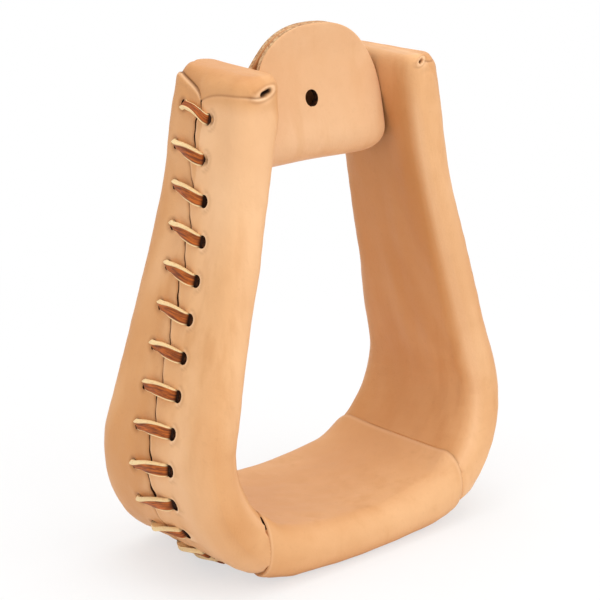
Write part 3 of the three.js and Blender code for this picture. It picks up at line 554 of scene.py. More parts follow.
@dataclass
class Shell:
    """A sheet of leather as a grid of outer points and one of inner points.

    The columns go round. Faces that aren't kept leave an opening right through, with a wall that joins the
    two grids and is painted dark, as shade, beside the chosen faces. Sunk faces leave a pocket whose floor and
    walls are painted dark, as shade.
    A closed top or end is filled with a fan of triangles.
    """

    outer: Array
    inner: Array
    kept: Array
    sunk: Array | None = None
    floor: Array | None = None
    painted_shade_walls: Array | None = None
    closed_top: bool = False
    closed_end: bool = False

    def border(self, inside: Array, top: Array, low: Array, closed: tuple[bool, bool]) -> Array:
        """Walls from one grid to another along the edge of a group of faces.

        Args:
            inside: The faces of the group.
            top: Vertex numbers of the first grid.
            low: Vertex numbers of the second grid.
            closed: Whether the group goes on past the first and past the last row.

        Returns:
            The quads, and for each the face that it belongs to.
        """
        columns = inside.shape[1]
        a, b, c, d = corners_of(top)
        e, f, g, h = corners_of(low)
        before, after = ~np.roll(inside, 1, 1), ~np.roll(inside, -1, 1)
        above = ~np.vstack([np.full((1, columns), closed[0]), inside[:-1]])
        below = ~np.vstack([inside[1:], np.full((1, columns), closed[1])])
        sides = ((before, (b, a, e, f)), (after, (d, c, g, h)), (above, (a, d, h, e)), (below, (c, b, f, g)))
        number = np.arange(inside.size).reshape(inside.shape)
        quads = [np.stack([*quad, number], -1)[inside & open_side] for open_side, quad in sides]
        return np.concatenate(quads)

    def build(self) -> tuple[Array, list[Array], list[int]]:
        """The points, the faces and each group's material slot: 0 for the face, 1 cut edge and 2 painted shade.
        """
        rows, columns = self.outer.shape[:2]
        size = rows * columns
        index = np.arange(size).reshape(rows, columns)
        sunk = np.zeros_like(self.kept) if self.sunk is None else self.sunk
        points = [self.outer.reshape(-1, 3), self.inner.reshape(-1, 3)]
        front, back = np.stack(corners_of(index), -1), np.stack(corners_of(index + size)[::-1], -1)
        walls = self.border(self.kept, index, index + size, (self.closed_top, self.closed_end))
        groups, slots = [front[self.kept & ~sunk], back[self.kept]], [0, 0]
        # Walls beside the chosen faces get the dark material, as painted shade.
        dark = np.zeros(len(walls), bool) if self.painted_shade_walls is None else self.painted_shade_walls.ravel()[walls[:, 4]]
        groups += [walls[~dark, :4], walls[dark, :4]]
        slots += [1, 2]
        if self.floor is not None:
            low = index + 2 * size
            points.append(self.floor.reshape(-1, 3))
            pocket = self.border(sunk, index, low, (False, False))[:, 3::-1]
            groups += [np.stack(corners_of(low), -1)[sunk], pocket]
            slots += [2, 2]
        for closed, row, turned in ((self.closed_top, 0, False), (self.closed_end, rows - 1, True)):
            for side, grid in enumerate((self.outer, self.inner)) if closed else ():
                here = index[row] + side * size
                after = np.roll(here, -1)
                middle = np.full(columns, sum(len(part) for part in points))
                points.append(grid[row].mean(0)[None])
                pair = (after, here) if turned ^ bool(side) else (here, after)
                groups.append(np.stack([middle, *pair], -1))
                slots.append(0)
        return np.concatenate(points), [group[:, ::-1] for group in groups], slots


def corners_of(index: Array) -> tuple[Array, Array, Array, Array]:
    """The four corners of every face of a grid that closes round its columns."""
    right = np.roll(index, -1, 1)
    return index[:-1], index[1:], right[1:], right[:-1]


def face_middles(values: Array) -> Array:
    """The values in the middle of every face of a grid that closes round its columns."""
    return (values[:-1] + np.roll(values, -1, 1)[1:]) / 2


def rim_of(faces: Array) -> Array:
    """The points on the border of a group of faces."""
    near = np.zeros((faces.shape[0] + 1, faces.shape[1]), int)
    for part in (faces, np.roll(faces, 1, 1)):
        near[:-1] += part
        near[1:] += part
    return (near > 0) & (near < 4)


def make_object(
    name: str,
    points: Array,
    faces: list[Array],
    materials: list[bpy.types.Material],
    slots: list[int],
    mirrored: bool = False,
    marks: dict[str, Array] | None = None,
    sharp: float = 42,
) -> bpy.types.Object:
    """Makes a mesh object from points in millimetres.

    Args:
        name: The object's name.
        points: Rows of X, Y and Z in millimetres.
        faces: Arrays of faces, each with its own number of corners.
        materials: The materials of the object's slots.
        slots: The slot of each array of faces.
        mirrored: Whether X is turned round, as for the left arm.
        marks: Named values of the points, for the materials to read.
        sharp: Edges that bend by more degrees than this are shaded sharp.

    Returns:
        The new object, linked to the scene.
    """
    used = np.unique(np.concatenate([group.ravel() for group in faces]))
    renumber = np.zeros(len(points), int)
    renumber[used] = np.arange(len(used))
    place = points[used] * MM
    if mirrored:
        place = place * np.array([-1, 1, 1])
    order = slice(None, None, -1) if mirrored else slice(None)
    polygons = [renumber[group][:, order] for group in faces]
    mesh = bpy.data.meshes.new(name)
    mesh.vertices.add(len(place))
    mesh.vertices.foreach_set("co", place.ravel())
    corners = np.concatenate([group.ravel() for group in polygons])
    sizes = np.concatenate([np.full(len(group), group.shape[1]) for group in polygons])
    starts = np.concatenate([[0], np.cumsum(sizes)[:-1]])
    mesh.loops.add(len(corners))
    mesh.loops.foreach_set("vertex_index", corners)
    mesh.polygons.add(len(sizes))
    mesh.polygons.foreach_set("loop_start", starts)
    mesh.polygons.foreach_set("loop_total", sizes)
    slot_of = np.concatenate([np.full(len(group), slot) for group, slot in zip(polygons, slots)])
    mesh.polygons.foreach_set("material_index", slot_of)
    mesh.polygons.foreach_set("use_smooth", np.ones(len(sizes), bool))
    for material in materials:
        mesh.materials.append(material)
    mesh.update()
    mesh.validate()
    mesh.set_sharp_from_angle(angle=math.radians(sharp))
    for key, values in (marks or {}).items():
        mesh.attributes.new(key, "FLOAT", "POINT").data.foreach_set("value", values[used])
    made = bpy.data.objects.new(name, mesh)
    bpy.context.scene.collection.objects.link(made)
    return made


def shell_object(
    name: str,
    shell: Shell,
    materials: list[bpy.types.Material],
    marks: dict[str, Array],
    mirrored: bool = False,
) -> bpy.types.Object:
    """Makes a leather shell's object.

    Args:
        name: The object's name.
        shell: The sheet of leather.
        materials: Its face, its cut edge and its dark openings.
        marks: Named values on the outer grid, which are 0 elsewhere.
        mirrored: Whether X is turned round.

    Returns:
        The new object.
    """
    points, faces, slots = shell.build()
    padded = {key: np.zeros(len(points)) for key in marks}
    for key, values in marks.items():
        padded[key][: values.size] = values.ravel()
    return make_object(name, points, faces, materials, slots, mirrored, padded)


# Shader expressions


class Socket:
    """A shader value that takes part in Python expressions: each operator adds a Math node."""

    def __init__(self, board: "Board", output: bpy.types.NodeSocket) -> None:
        """Wraps an output socket of a node on the board."""
        self.board = board
        self.output = output

    def math(self, operation: str, first: Any, second: Any) -> "Socket":
        """A Math node of two values."""
        return self.board.node("Math", {"operation": operation}, {0: first, 1: second})

    def __add__(self, other: Any) -> "Socket":
        """self + other."""
        return self.math("ADD", self, other)

    __radd__ = __add__

    def __mul__(self, other: Any) -> "Socket":
        """self * other."""
        return self.math("MULTIPLY", self, other)

    __rmul__ = __mul__

    def __sub__(self, other: Any) -> "Socket":
        """self - other."""
        return self.math("SUBTRACT", self, other)

    def __rsub__(self, other: Any) -> "Socket":
        """other - self."""
        return self.math("SUBTRACT", other, self)

    def __pow__(self, other: Any) -> "Socket":
        """self to the power of other."""
        return self.math("POWER", self, other)


class Board:
    """The nodes of one material or of the world."""

    def __init__(self, owner: bpy.types.ID, kind: str = "Material") -> None:
        """Clears the owner's nodes and adds an output node of its kind."""
        self.owner = owner
        owner.use_nodes = True
        self.tree = owner.node_tree
        self.tree.nodes.clear()
        self.out = self.tree.nodes.new("ShaderNodeOutput" + kind)

    @classmethod
    def of_material(cls, name: str) -> "Board":
        """The board of a new material."""
        return cls(bpy.data.materials.new(name))

    def node(self, kind: str, settings: dict[str, Any], sockets: dict[Any, Any], output: Any = 0) -> Socket:
        """Adds one node.

        Args:
            kind: The node's type without its ShaderNode prefix.
            settings: The node's own settings, and stops as pairs of a position and a colour for a ramp.
            sockets: Values or links, by socket name or number.
            output: Name or number of the output that is wanted.

        Returns:
            The wanted output.
        """
        made = self.tree.nodes.new("ShaderNode" + kind)
        for key, value in settings.items():
            if key == "stops":
                ramp = made.color_ramp.elements
                for stop, (position, color) in zip(ramp, value):
                    stop.position, stop.color = position, color
                for position, color in value[len(ramp) :]:
                    ramp.new(position).color = color
            else:
                setattr(made, key, value)
        for key, value in sockets.items():
            if isinstance(value, Socket):
                self.tree.links.new(value.output, made.inputs[key])
            else:
                made.inputs[key].default_value = value
        return Socket(self, made.outputs[output])

    def place(self) -> Socket:
        """Object coordinates, in metres."""
        return self.node("TexCoord", {}, {}, "Object")

    def noise(
        self, scale: float, detail: float = 3, roughness: float = 0.5, place: Socket | None = None
    ) -> Socket:
        """Cloudy noise from 0 to 1, with scale waves to the metre."""
        values = {"Vector": place or self.place(), "Scale": scale, "Detail": detail, "Roughness": roughness}
        return self.node("TexNoise", {}, values, "Fac")

    def mark(self, name: str) -> Socket:
        """A named value of the mesh's points, which is 0 where the mesh has none."""
        return self.node("Attribute", {"attribute_name": name}, {}, "Fac")

    def mix(self, share: Any, first: Any, second: Any) -> Socket:
        """A mix of two colours."""
        return self.node("Mix", {"data_type": "RGBA"}, {0: share, 6: first, 7: second}, 2)

    def step(self, value: Socket, low: float, high: float) -> Socket:
        """A soft step of a value from 0 at low to 1 at high."""
        settings = {"interpolation_type": "SMOOTHSTEP"}
        return self.node("MapRange", settings, {"Value": value, "From Min": low, "From Max": high}, "Result")

    def bump(self, height: Socket, distance: float, strength: float, under: Socket | None = None) -> Socket:
        """A Bump node over another one, with its height in metres."""
        values: dict[str, Any] = {"Height": height, "Distance": distance, "Strength": strength}
        if under is not None:
            values["Normal"] = under
        return self.node("Bump", {}, values, "Normal")

    def surface(self, sockets: dict[str, Any]) -> bpy.types.Material:
        """Ends the material in a Principled surface with these sockets."""
        return self.end(self.node("BsdfPrincipled", {}, sockets))

    def end(self, shader: Socket) -> Any:
        """Links the last shader to the output and returns what the board belongs to."""
        self.tree.links.new(shader.output, self.out.inputs["Surface"])
        return self.owner


def colour(red: int, green: int, blue: int) -> tuple[float, float, float, float]:
    """A colour written in screen values from 0 to 255, as the shader's linear values."""

    def linear(value: int) -> float:
        """One channel in linear light."""
        share = value / 255
        return share / 12.92 if share <= 0.04045 else ((share + 0.055) / 1.055) ** 2.4

    return (linear(red), linear(green), linear(blue), 1)


# Finishes


@dataclass(frozen=True)
class TannedLeather:
    """Smooth natural leather: warm clouds of colour, fine pores, faint wrinkles and a soft gloss.

    It reads four marks of its mesh. The tan mark is deeper colour: partly the leather's own tone and partly
    painted shade on faces turned from the light. Pale is a cut edge or a stretched lip, and also a painted
    highlight on ridges, lips and lit sides. Dark is painted shade in creases, slits and holes. Brown is a
    burnished edge, and also painted shade in hollows, beside seams and where the pad shades the right arm.
    """

    name: str
    light: tuple[int, int, int] = (236, 184, 133)
    deep: tuple[int, int, int] = (214, 155, 101)
    # Deeper colour, which also stands as painted shade on faces turned from the light.
    tan: tuple[int, int, int] = (208, 144, 86)
    # Pale, which is also used as a painted highlight.
    pale: tuple[int, int, int] = (248, 202, 157)
    # Brown, which is a burnished edge and also painted shade in hollows.
    brown: tuple[int, int, int] = (150, 92, 50)
    # Dark, which is painted shade in creases, slits and holes.
    dark: tuple[int, int, int] = (46, 26, 14)
    speckle: float = 0.08

    def make(self) -> bpy.types.Material:
        """Builds the material."""
        board = Board.of_material(self.name)
        clouds, blotches, specks = board.noise(14, 4, 0.55), board.noise(75, 4, 0.6), board.noise(420, 3, 0.6)
        base = board.mix(board.step(clouds, 0.32, 0.7), colour(*self.deep), colour(*self.light))
        long = board.node("Mapping", {}, {"Vector": board.place(), "Scale": (1, 1, 0.2)})
        streaks = board.noise(110, 4, 0.55, long)
        base = board.mix(board.step(streaks, 0.48, 0.72) * 0.6, base, colour(*self.deep))
        # Deeper colour where the tan mark is, partly painted shade.
        base = board.mix(board.mark("tan"), base, colour(*self.tan))
        base = board.mix(board.step(blotches, 0.5, 0.75) * 0.3, base, colour(*self.deep))
        base = board.mix(board.step(specks, 0.55, 0.8) * self.speckle, base, colour(*self.brown))
        # The pale, brown and dark marks lay painted highlight and painted shade over the colour, besides cut
        # and burnished edges.
        for name, shade in (("pale", self.pale), ("brown", self.brown), ("dark", self.dark)):
            base = board.mix(board.mark(name), base, colour(*shade))
        pores = board.node("TexVoronoi", {}, {"Vector": board.place(), "Scale": 1100}, "Distance")
        wrinkles = board.noise(170, 5, 0.62)
        folds = board.noise(48, 2, 0.5)
        normal = board.bump(folds, 0.0012, 0.4)
        normal = board.bump(wrinkles, 0.0005, 0.4, normal)
        normal = board.bump(pores, 0.00012, 0.4, normal)
        rough = board.noise(60, 3) * 0.16 + 0.4 + board.mark("dark") * 0.3
        sockets = {"Base Color": base, "Roughness": rough, "Normal": normal, "Specular IOR Level": 0.22}
        return board.surface(sockets)


@dataclass(frozen=True)
class CutLeather:
    """The cut edge of natural leather: pale, dull and fibrous."""

    pale: tuple[int, int, int] = (226, 190, 142)
    brown: tuple[int, int, int] = (166, 112, 68)

    def make(self) -> bpy.types.Material:
        """Builds the material."""
        board = Board.of_material("cut_leather")
        fibres = board.noise(700, 4, 0.7)
        base = board.mix(board.step(fibres, 0.35, 0.7), colour(*self.brown), colour(*self.pale))
        normal = board.bump(fibres, 0.0004, 0.8)
        return board.surface({"Base Color": base, "Roughness": 0.8, "Normal": normal})


@dataclass(frozen=True)
class DeepShade:
    """Painted shade: a dull near-black for the inside of a punched hole, an open seam, the pad's hole and a gap
    at the sleeve's end.
    """

    black: tuple[int, int, int] = (34, 17, 9)
    brown: tuple[int, int, int] = (84, 46, 23)

    def make(self) -> bpy.types.Material:
        """Builds the material."""
        board = Board.of_material("deep_shade")
        fibres = board.noise(600, 3, 0.6)
        base = board.mix(board.step(fibres, 0.4, 0.7), colour(*self.black), colour(*self.brown))
        return board.surface({"Base Color": base, "Roughness": 0.9, "Specular IOR Level": 0.1})


@dataclass(frozen=True)
class LaceLeather:
    """Brown lace: a streaky brown face, and a pale flesh side and cut edges.

    It reads four marks of its mesh: cream is the flesh side and the edges, under is what lies in a hole and
    gets painted shade in the deep colour, and across and along are the place on the lace in millimetres, which
    its streaks follow.
    """

    brown: tuple[int, int, int] = (208, 108, 34)
    dark: tuple[int, int, int] = (116, 54, 14)
    cream: tuple[int, int, int] = (244, 214, 160)
    # Painted shade for the lace where it goes into a hole.
    deep: tuple[int, int, int] = (48, 24, 12)

    def make(self) -> bpy.types.Material:
        """Builds the material."""
        board = Board.of_material("lace_leather")
        way = board.node("CombineXYZ", {}, {0: board.mark("across") * 1.3, 1: board.mark("along") * 0.13})
        streaks = board.noise(1, 4, 0.6, way)
        fibres = board.noise(900, 3, 0.7)
        face = board.mix(board.step(streaks, 0.35, 0.72), colour(*self.dark), colour(*self.brown))
        flesh = board.mix(board.step(fibres, 0.5, 0.8) * 0.4, colour(*self.cream), colour(*self.brown))
        base = board.mix(board.step(board.mark("cream"), 0.35, 0.75), face, flesh)
        # Painted shade where the lace lies in a hole.
        base = board.mix(board.mark("under"), base, colour(*self.deep))
        normal = board.bump(streaks, 0.0003, 0.6)
        rough = board.noise(90, 2) * 0.2 + 0.42
        sockets = {"Base Color": base, "Roughness": rough, "Normal": normal, "Specular IOR Level": 0.25}
        return board.surface(sockets)


@dataclass(frozen=True)
class Hardwood:
    """Sanded hardwood with a grain that follows the bow."""

    pale: tuple[int, int, int] = (206, 166, 116)
    brown: tuple[int, int, int] = (150, 104, 62)

    def make(self) -> bpy.types.Material:
        """Builds the material."""
        board = Board.of_material("hardwood")
        stretched = board.node("Mapping", {}, {"Vector": board.place(), "Scale": (30, 260, 30)})
        grain = board.noise(1, 6, 0.65, stretched)
        base = board.mix(board.step(grain, 0.3, 0.7), colour(*self.brown), colour(*self.pale))
        normal = board.bump(grain, 0.0004, 0.5)
        return board.surface({"Base Color": base, "Roughness": 0.62, "Normal": normal})


@dataclass(frozen=True)
class PlainSteel:
    """Plain zinc-grey steel with light wear."""

    grey: tuple[int, int, int] = (176, 178, 182)
    worn: tuple[int, int, int] = (128, 128, 132)

    def make(self) -> bpy.types.Material:
        """Builds the material."""
        board = Board.of_material("plain_steel")
        clouds = board.noise(120, 5, 0.6)
        base = board.mix(board.step(clouds, 0.35, 0.7), colour(*self.worn), colour(*self.grey))
        rough = clouds * 0.25 + 0.2
        normal = board.bump(board.noise(900, 3), 0.0001, 0.4)
        return board.surface({"Base Color": base, "Metallic": 1.0, "Roughness": rough, "Normal": normal})


@dataclass
class Finishes:
    """Every material of the stirrup, made once."""

    leather: bpy.types.Material = field(default_factory=lambda: TannedLeather("arm_leather").make())
    tread: bpy.types.Material = field(
        default_factory=lambda: TannedLeather("tread_leather", (233, 181, 130), (219, 161, 107)).make()
    )
    pad: bpy.types.Material = field(
        default_factory=lambda: TannedLeather(
            "pad_leather", (234, 187, 143), (222, 168, 120), speckle=0.06
        ).make()
    )
    cut: bpy.types.Material = field(default_factory=lambda: CutLeather().make())
    # Painted shade for holes, seams and gaps.
    dark: bpy.types.Material = field(default_factory=lambda: DeepShade().make())
    lace: bpy.types.Material = field(default_factory=lambda: LaceLeather().make())
    wood: bpy.types.Material = field(default_factory=lambda: Hardwood().make())
    steel: bpy.types.Material = field(default_factory=lambda: PlainSteel().make())


# Arm covers


@dataclass
class Grid:
    """Down, around and girth for every point of an arm cover's grid."""

    down: Array
    around: Array
    girth: Array

    @property
    def back(self) -> Array:
        """How far back from the middle line a point lies, measured round the nearer way."""
        return np.where(self.around < self.girth / 2, -self.around, self.girth - self.around)

    @property
    def place(self) -> Array:
        """The place on the bow of every row."""
        return OUTER_LINE.place_at(np.maximum(self.down[:, :1], 0))


@dataclass
class ArmCover:
    """An arm's leather cover: wings that meet in the laced seam, and a tongue folded over the arm's top."""

    arm: Arm
    finishes: Finishes
    thickness: float = 3.2
    pared: float = 1.5
    pared_half_width: float = 13.5
    floor_depth: float = 1.25
    notch_down: float = 9.5
    row_step: float = 0.9
    top_row_step: float = 0.32
    top_rows_end: float = 10
    dense_width: float = 16
    dense_columns: int = 31
    slit_reach: float = 5
    columns_between: int = 6
    slit_columns: int = 25
    inner_columns: int = 24
    end_tuck: float = 11
    front_hole: tuple[float, float] = (2.5, 2.5)
    front_hole_shift: float = 0.8
    rear_hole: tuple[float, float] = (1.3, 2.1)
    rear_hole_shift: float = 0.35
    sleeve_skive: float = 1.9
    foot_taper: float = 1.5
    front_step: float = 0.06
    rear_step: float = 1.05

    @property
    def top(self) -> TopShape:
        """The shape of this arm's top."""
        return TOPS[self.arm]

    def rows(self) -> Array:
        """Down for every row of the grid, from the middle of the level top to the end under the sleeve."""
        top = SKIN.roll_start - SKIN.roll_length - SKIN.level_length
        upper = np.arange(top, self.top_rows_end, self.top_row_step)
        end = SEAM.sleeve_down + self.end_tuck
        lower = np.linspace(self.top_rows_end, end, int((end - self.top_rows_end) / self.row_step))
        return np.concatenate([upper, lower])

    def grid(self) -> Grid:
        """The whole grid: columns are close by the seam and by the slits, and wider elsewhere."""
        down = self.rows()
        place = OUTER_LINE.place_at(np.maximum(down, 0))
        girth = BOW.girth(place)[:, None]
        seam = -SEAM.offset(np.maximum(down, 0))[:, None]
        gap = SEAM.half_gap(down)[:, None]
        slit = BOW.front_middle(place)[:, None]
        stops = (
            seam + gap,
            seam + gap + self.dense_width,
            slit - self.slit_reach,
            slit + self.slit_reach,
            girth - slit - self.slit_reach,
            girth - slit + self.slit_reach,
            seam + girth - gap - self.dense_width,
            seam + girth - gap,
        )
        counts = (
            self.dense_columns,
            self.columns_between,
            self.slit_columns,
            self.inner_columns,
            self.slit_columns,
            self.columns_between,
            self.dense_columns,
        )
        parts = [
            start + (end - start) * np.linspace(0, 1, count, endpoint=False)[None]
            for start, end, count in zip(stops[:-1], stops[1:], counts)
        ]
        around = np.concatenate([*parts, stops[-1]], 1)
        return Grid(np.broadcast_to(down[:, None], around.shape).copy(), around, girth)

    def punch(self, grid: Grid) -> Array:
        """Finds the faces of the open seam and of the punched holes.

        Args:
            grid: The grid, whose points are moved in place near the holes.

        Returns:
            The mask of the faces that are sunk.
        """
        down = grid.down
        middle = (down[:-1, 0] + down[1:, 0]) / 2
        sunk = np.zeros((down.shape[0] - 1, down.shape[1]), bool)
        for stitch in SEAM.stitches():
            front = -(stitch.front_back - self.front_hole_shift)
            rear = grid.girth - (stitch.rear_back - self.rear_hole_shift)
            holes = [(stitch.rear_down, rear, self.rear_hole)]
            if not stitch.shallow:
                holes.append((stitch.front_down, front, self.front_hole))
            for hole_down, hole_around, size in holes:
                sunk |= self.punch_one(grid, hole_down, hole_around, size)
        sunk[:, -1] = (middle > self.notch_down) & (middle < SEAM.sleeve_down + 0.4)
        return sunk

    def punch_one(self, grid: Grid, hole_down: float, hole_around: Array, size: tuple[float, float]) -> Array:
        """Finds one hole's faces and draws its rim onto an ellipse.

        Args:
            grid: The grid, whose points on the rim are moved in place.
            hole_down: Down of the hole's middle.
            hole_around: Way round to the hole's middle, for each row.
            size: Half the hole's width and half its height.

        Returns:
            The mask of the hole's faces.
        """
        down, around = grid.down, grid.around
        level, across = (down - hole_down) / size[1], (around - hole_around) / size[0]
        reach = np.hypot(level, across)
        gone = np.hypot(face_middles(level), face_middles(across)) < 1
        gone[:, -1] = False
        rim = rim_of(gone)
        hole_line = np.broadcast_to(hole_around, down.shape)
        down[rim] = hole_down + (down[rim] - hole_down) / reach[rim]
        around[rim] = hole_line[rim] + (around[rim] - hole_line[rim]) / reach[rim]
        return gone

    def rim_line(self, grid: Grid) -> Array:
        """Down of the wings' top edge: high at the rear, low in front, and falling in a notch to the seam."""
        back, middle = grid.back, BOW.front_middle(grid.place)
        away = back - SEAM.offset(np.array(self.notch_down))
        rim = self.top.front_rim
        front = rim + (9.7 - rim) * np.exp(np.minimum(away, 0) / 6) + 0.6 * bell(back + middle - 4, 3.2)
        slope = np.maximum(6.2 - 0.33 * np.maximum(away, 0), 1.4)
        rear = slope + 3.5 * np.exp(-np.maximum(away, 0) / 1.8) + 1.5 * bell(back - middle + 2, 4)
        return np.where(away > 0, rear, front)

    def inner_share(self, grid: Grid) -> Array:
        """1 on the inner side of both slits, where the leather goes up in one piece, and 0 on the wings."""
        middle = BOW.front_middle(grid.place)
        front = smooth(grid.around - middle, -1.2, 1.2)
        return front * smooth(grid.girth - middle - grid.around, -1.2, 1.2)

    def slit_ways(self, grid: Grid) -> list[tuple[Array, Array, Array]]:
        """For both slits, how far along, how far beside and how far round the slit a point lies."""
        middle, turn = BOW.front_middle(grid.place), math.radians(self.top.slit_tilt)
        level = grid.down - self.top.slit_down
        middle = middle + self.top.slit_inward
        ways = []
        for toward in (grid.around - middle, grid.girth - middle - grid.around):
            along = (toward * math.cos(turn) - level * math.sin(turn)) / self.top.slit_size
            square = (toward * math.sin(turn) + level * math.cos(turn)) / self.top.slit_size
            ways.append((along, square, np.hypot(along * 0.42, square - 0.3)))
        return ways

    def top_relief(self, grid: Grid) -> Array:
        """The step and crease at the wings' rim, and the two pinched slits with their lips and soft folds."""
        down, back = grid.down, grid.back
        rim, wings = self.rim_line(grid), 1 - self.inner_share(grid)
        below = down - rim
        rear = smooth(back, -1, 6)
        step = self.front_step + (self.rear_step - self.front_step) * rear * bell(np.minimum(below, 0), 7)
        faint = smooth(np.abs(back - SEAM.offset(np.array(self.notch_down))), 2, 7)
        clear = np.maximum(faint, rear)
        fading = np.exp(-np.clip(below, 0, None) / 0.5) * (below > 0)
        height = -wings * step * (1 - smooth(below, -0.2, 0.25))
        height -= wings * (0.1 + 0.2 * rear) * clear * (bell(below + 0.08, 0.35) + fading)
        height += wings * (0.05 + 0.2 * rear) * clear * bell(below - 1.5, 1.1)
        height += wings * 0.35 * bell(below + 3.4, 2.6) * smooth(-back, -4, 4)
        for along, square, ring in self.slit_ways(grid):
            height += (0.2 + 0.3 * smooth(-square, -1, 1)) * bell(ring - 1.75, 0.7)
            height -= 2.6 * np.exp(-((along / 2.4) ** 6) - (square / 0.7) ** 2)
            height -= 0.5 * bell(square - 9 + 0.3 * along, 3) * bell(along - 2, 7)
            height += 0.4 * bell(square - 14, 3.5) * bell(along - 3, 7)
            low = smooth(square, 2, 6)
            height -= 0.3 * bell(along + 5 - 0.25 * square, 1.6) * low * (1 - smooth(square, 12, 24))
            height += 0.28 * bell(along + 1.5 - 0.2 * square, 2.2) * low * (1 - smooth(square, 14, 26))
        return height

    def seam_relief(self, grid: Grid) -> Array:
        """The seam's edges: rolled in at the cut and lifted beside it, more on the front wing."""
        front, rear = self.from_seam(grid)
        laced = smooth(grid.down, self.notch_down - 1, self.notch_down + 2)
        height = 0.3 * bell(front - 1.3, 1.3) + 0.12 * bell(rear - 1.5, 1.4)
        return laced * (height - 0.35 * np.exp(-front / 0.4) - 0.45 * np.exp(-rear / 0.5))

    def from_seam(self, grid: Grid) -> tuple[Array, Array]:
        """Distances of every point from the seam's front edge and from its rear edge."""
        seam, gap = -SEAM.offset(np.maximum(grid.down, 0)), SEAM.half_gap(grid.down)
        return np.abs(grid.around - seam - gap), np.abs(seam + grid.girth - gap - grid.around)

    def around_holes(self, grid: Grid, stitch: Stitch) -> tuple[Array, Array, Array]:
        """Distance from a stitch's front hole, how far ahead of it, and distance from the rear hole."""
        ahead = stitch.front_back - self.front_hole_shift - grid.back
        behind = stitch.rear_back - self.rear_hole_shift - grid.back
        front = np.hypot((grid.down - stitch.front_down) / 1.05, ahead)
        return front, ahead, np.hypot((grid.down - stitch.rear_down) / 1.3, behind)

    def stitch_relief(self, grid: Grid) -> Array:
        """The pull of each stitch: a saddle under the lace, and a lip and a dimple at each hole."""
        down, back = grid.down, grid.back
        height = np.zeros(down.shape)
        for stitch in SEAM.stitches():
            middle = (stitch.rear_back + stitch.front_back) / 2
            half = (stitch.rear_back - stitch.front_back) / 2
            share = np.clip((back - stitch.front_back) / (2 * half), -0.3, 1.3)
            line = stitch.front_down + (stitch.rear_down - stitch.front_down) * share
            height -= 0.6 * bell(down - line, 3.4) * np.exp(-(((back - middle) / half) ** 4))
            front, ahead, rear = self.around_holes(grid, stitch)
            height += 0.42 * bell(front - 3.2, 0.8) * (0.35 + 0.65 * smooth(ahead, -1.5, 2.5))
            height += self.pull_wrinkles(down - stitch.front_down, ahead)
            height -= (1.5 if stitch.shallow else 0.35) * bell(front, 2.1)
            height += 0.3 * bell(rear - 2.7, 1.1) - 0.45 * bell(rear, 1.7)
        return height

    def pull_wrinkles(self, down: Array, ahead: Array) -> Array:
        """Faint wrinkles that fan out in front of a hole: waves of the angle that fade away from it."""
        reach = np.hypot(down, ahead)
        fan = np.sin(7 * np.arctan2(down, ahead + 1.5)) * smooth(ahead, -1, 2)
        return 0.07 * fan * smooth(reach, 3, 5) * (1 - smooth(reach, 5.5, 12))

    def relief(self, grid: Grid) -> Array:
        """Height of the leather over the plain surface, in millimetres and out of the surface.

        It adds the arm's top, the seam, the stitches, handmade unevenness in wide waves, short soft ones and
        long bands, the taper of the foot's bottom corners and the paring under the tread's sleeve.
        """
        height = self.top_relief(grid) + self.seam_relief(grid) + self.stitch_relief(grid)
        height += 0.17 * unevenness(grid.down, grid.around, 7) * smooth(grid.down, 0, 12)
        height += 0.06 * unevenness(grid.down, grid.around, 8, (6, 15)) * smooth(grid.down, 0, 12)
        height += 0.2 * unevenness(0.16 * grid.down, grid.around, 9, (7, 14)) * smooth(grid.down, 6, 30)
        point = SKIN.point(grid.down, grid.around)
        low = 1 - smooth(point[..., 2], 5, 12)
        beside = 1 - smooth(point[..., 0], SEAM.sleeve_half_length, SEAM.sleeve_half_length + 15)
        corner = smooth(np.abs(point[..., 1]), 10, 22) * smooth(grid.down, 120, 150)
        height -= self.foot_taper * low * beside * corner
        return height - self.sleeve_skive * self.under_sleeve(grid)

    def under_sleeve(self, grid: Grid) -> Array:
        """1 where the tread's sleeve lies over the cover, and 0 above it."""
        point = SKIN.point(grid.down, grid.around)
        past = point[..., 0] - SEAM.sleeve_end(point[..., 1], self.arm)
        return smooth(grid.down, 120, 150) * (1 - smooth(past, -1.2, 0.1))

    def low_line(self, grid: Grid) -> Array:
        """1 on the shaded line beside the sleeve's end at its bottom corners, where the sleeve stands proud."""
        point = SKIN.point(grid.down, grid.around)
        beside = bell(point[..., 0] - SEAM.sleeve_end(point[..., 1], self.arm) - 0.4, 0.55)
        return beside * (1 - smooth(point[..., 2], 7.5, 10)) * smooth(np.abs(point[..., 1]), 20, 26)

    def inner_depth(self, grid: Grid) -> Array:
        """Depth of the flesh side: the leather's thickness, less beside the seam, where the lace passes."""
        beside = 1 - smooth(np.abs(grid.back), self.pared_half_width - 1, self.pared_half_width + 1)
        above = 1 - smooth(grid.down, SEAM.sleeve_down - 2.5, SEAM.sleeve_down - 0.8)
        return self.thickness - (self.thickness - self.pared) * beside * smooth(grid.down, 8.5, 10.5) * above

    def edge_marks(self, grid: Grid) -> dict[str, Array]:
        """Marks of the wings' rim and of the seam: pale cut edges and stretched lips, a painted highlight on
        the seam's front lip, painted shade in the rim's crease and beside the sleeve's proud end, and brown
        that is partly burnish and partly painted shade.
        """
        wings, below = 1 - self.inner_share(grid), grid.down - self.rim_line(grid)
        rear_side = smooth(grid.back, -1, 4)
        front, rear = self.from_seam(grid)
        laced = smooth(grid.down, self.notch_down - 1, self.notch_down + 2)
        near_slit = np.zeros(grid.down.shape)
        for along, square, _ in self.slit_ways(grid):
            near_slit = np.maximum(near_slit, bell(along + 5, 4.5) * bell(square - 1, 3))
        pale = wings * bell(below - 0.6, 0.45) * (0.12 + 0.5 * rear_side + 0.6 * near_slit)
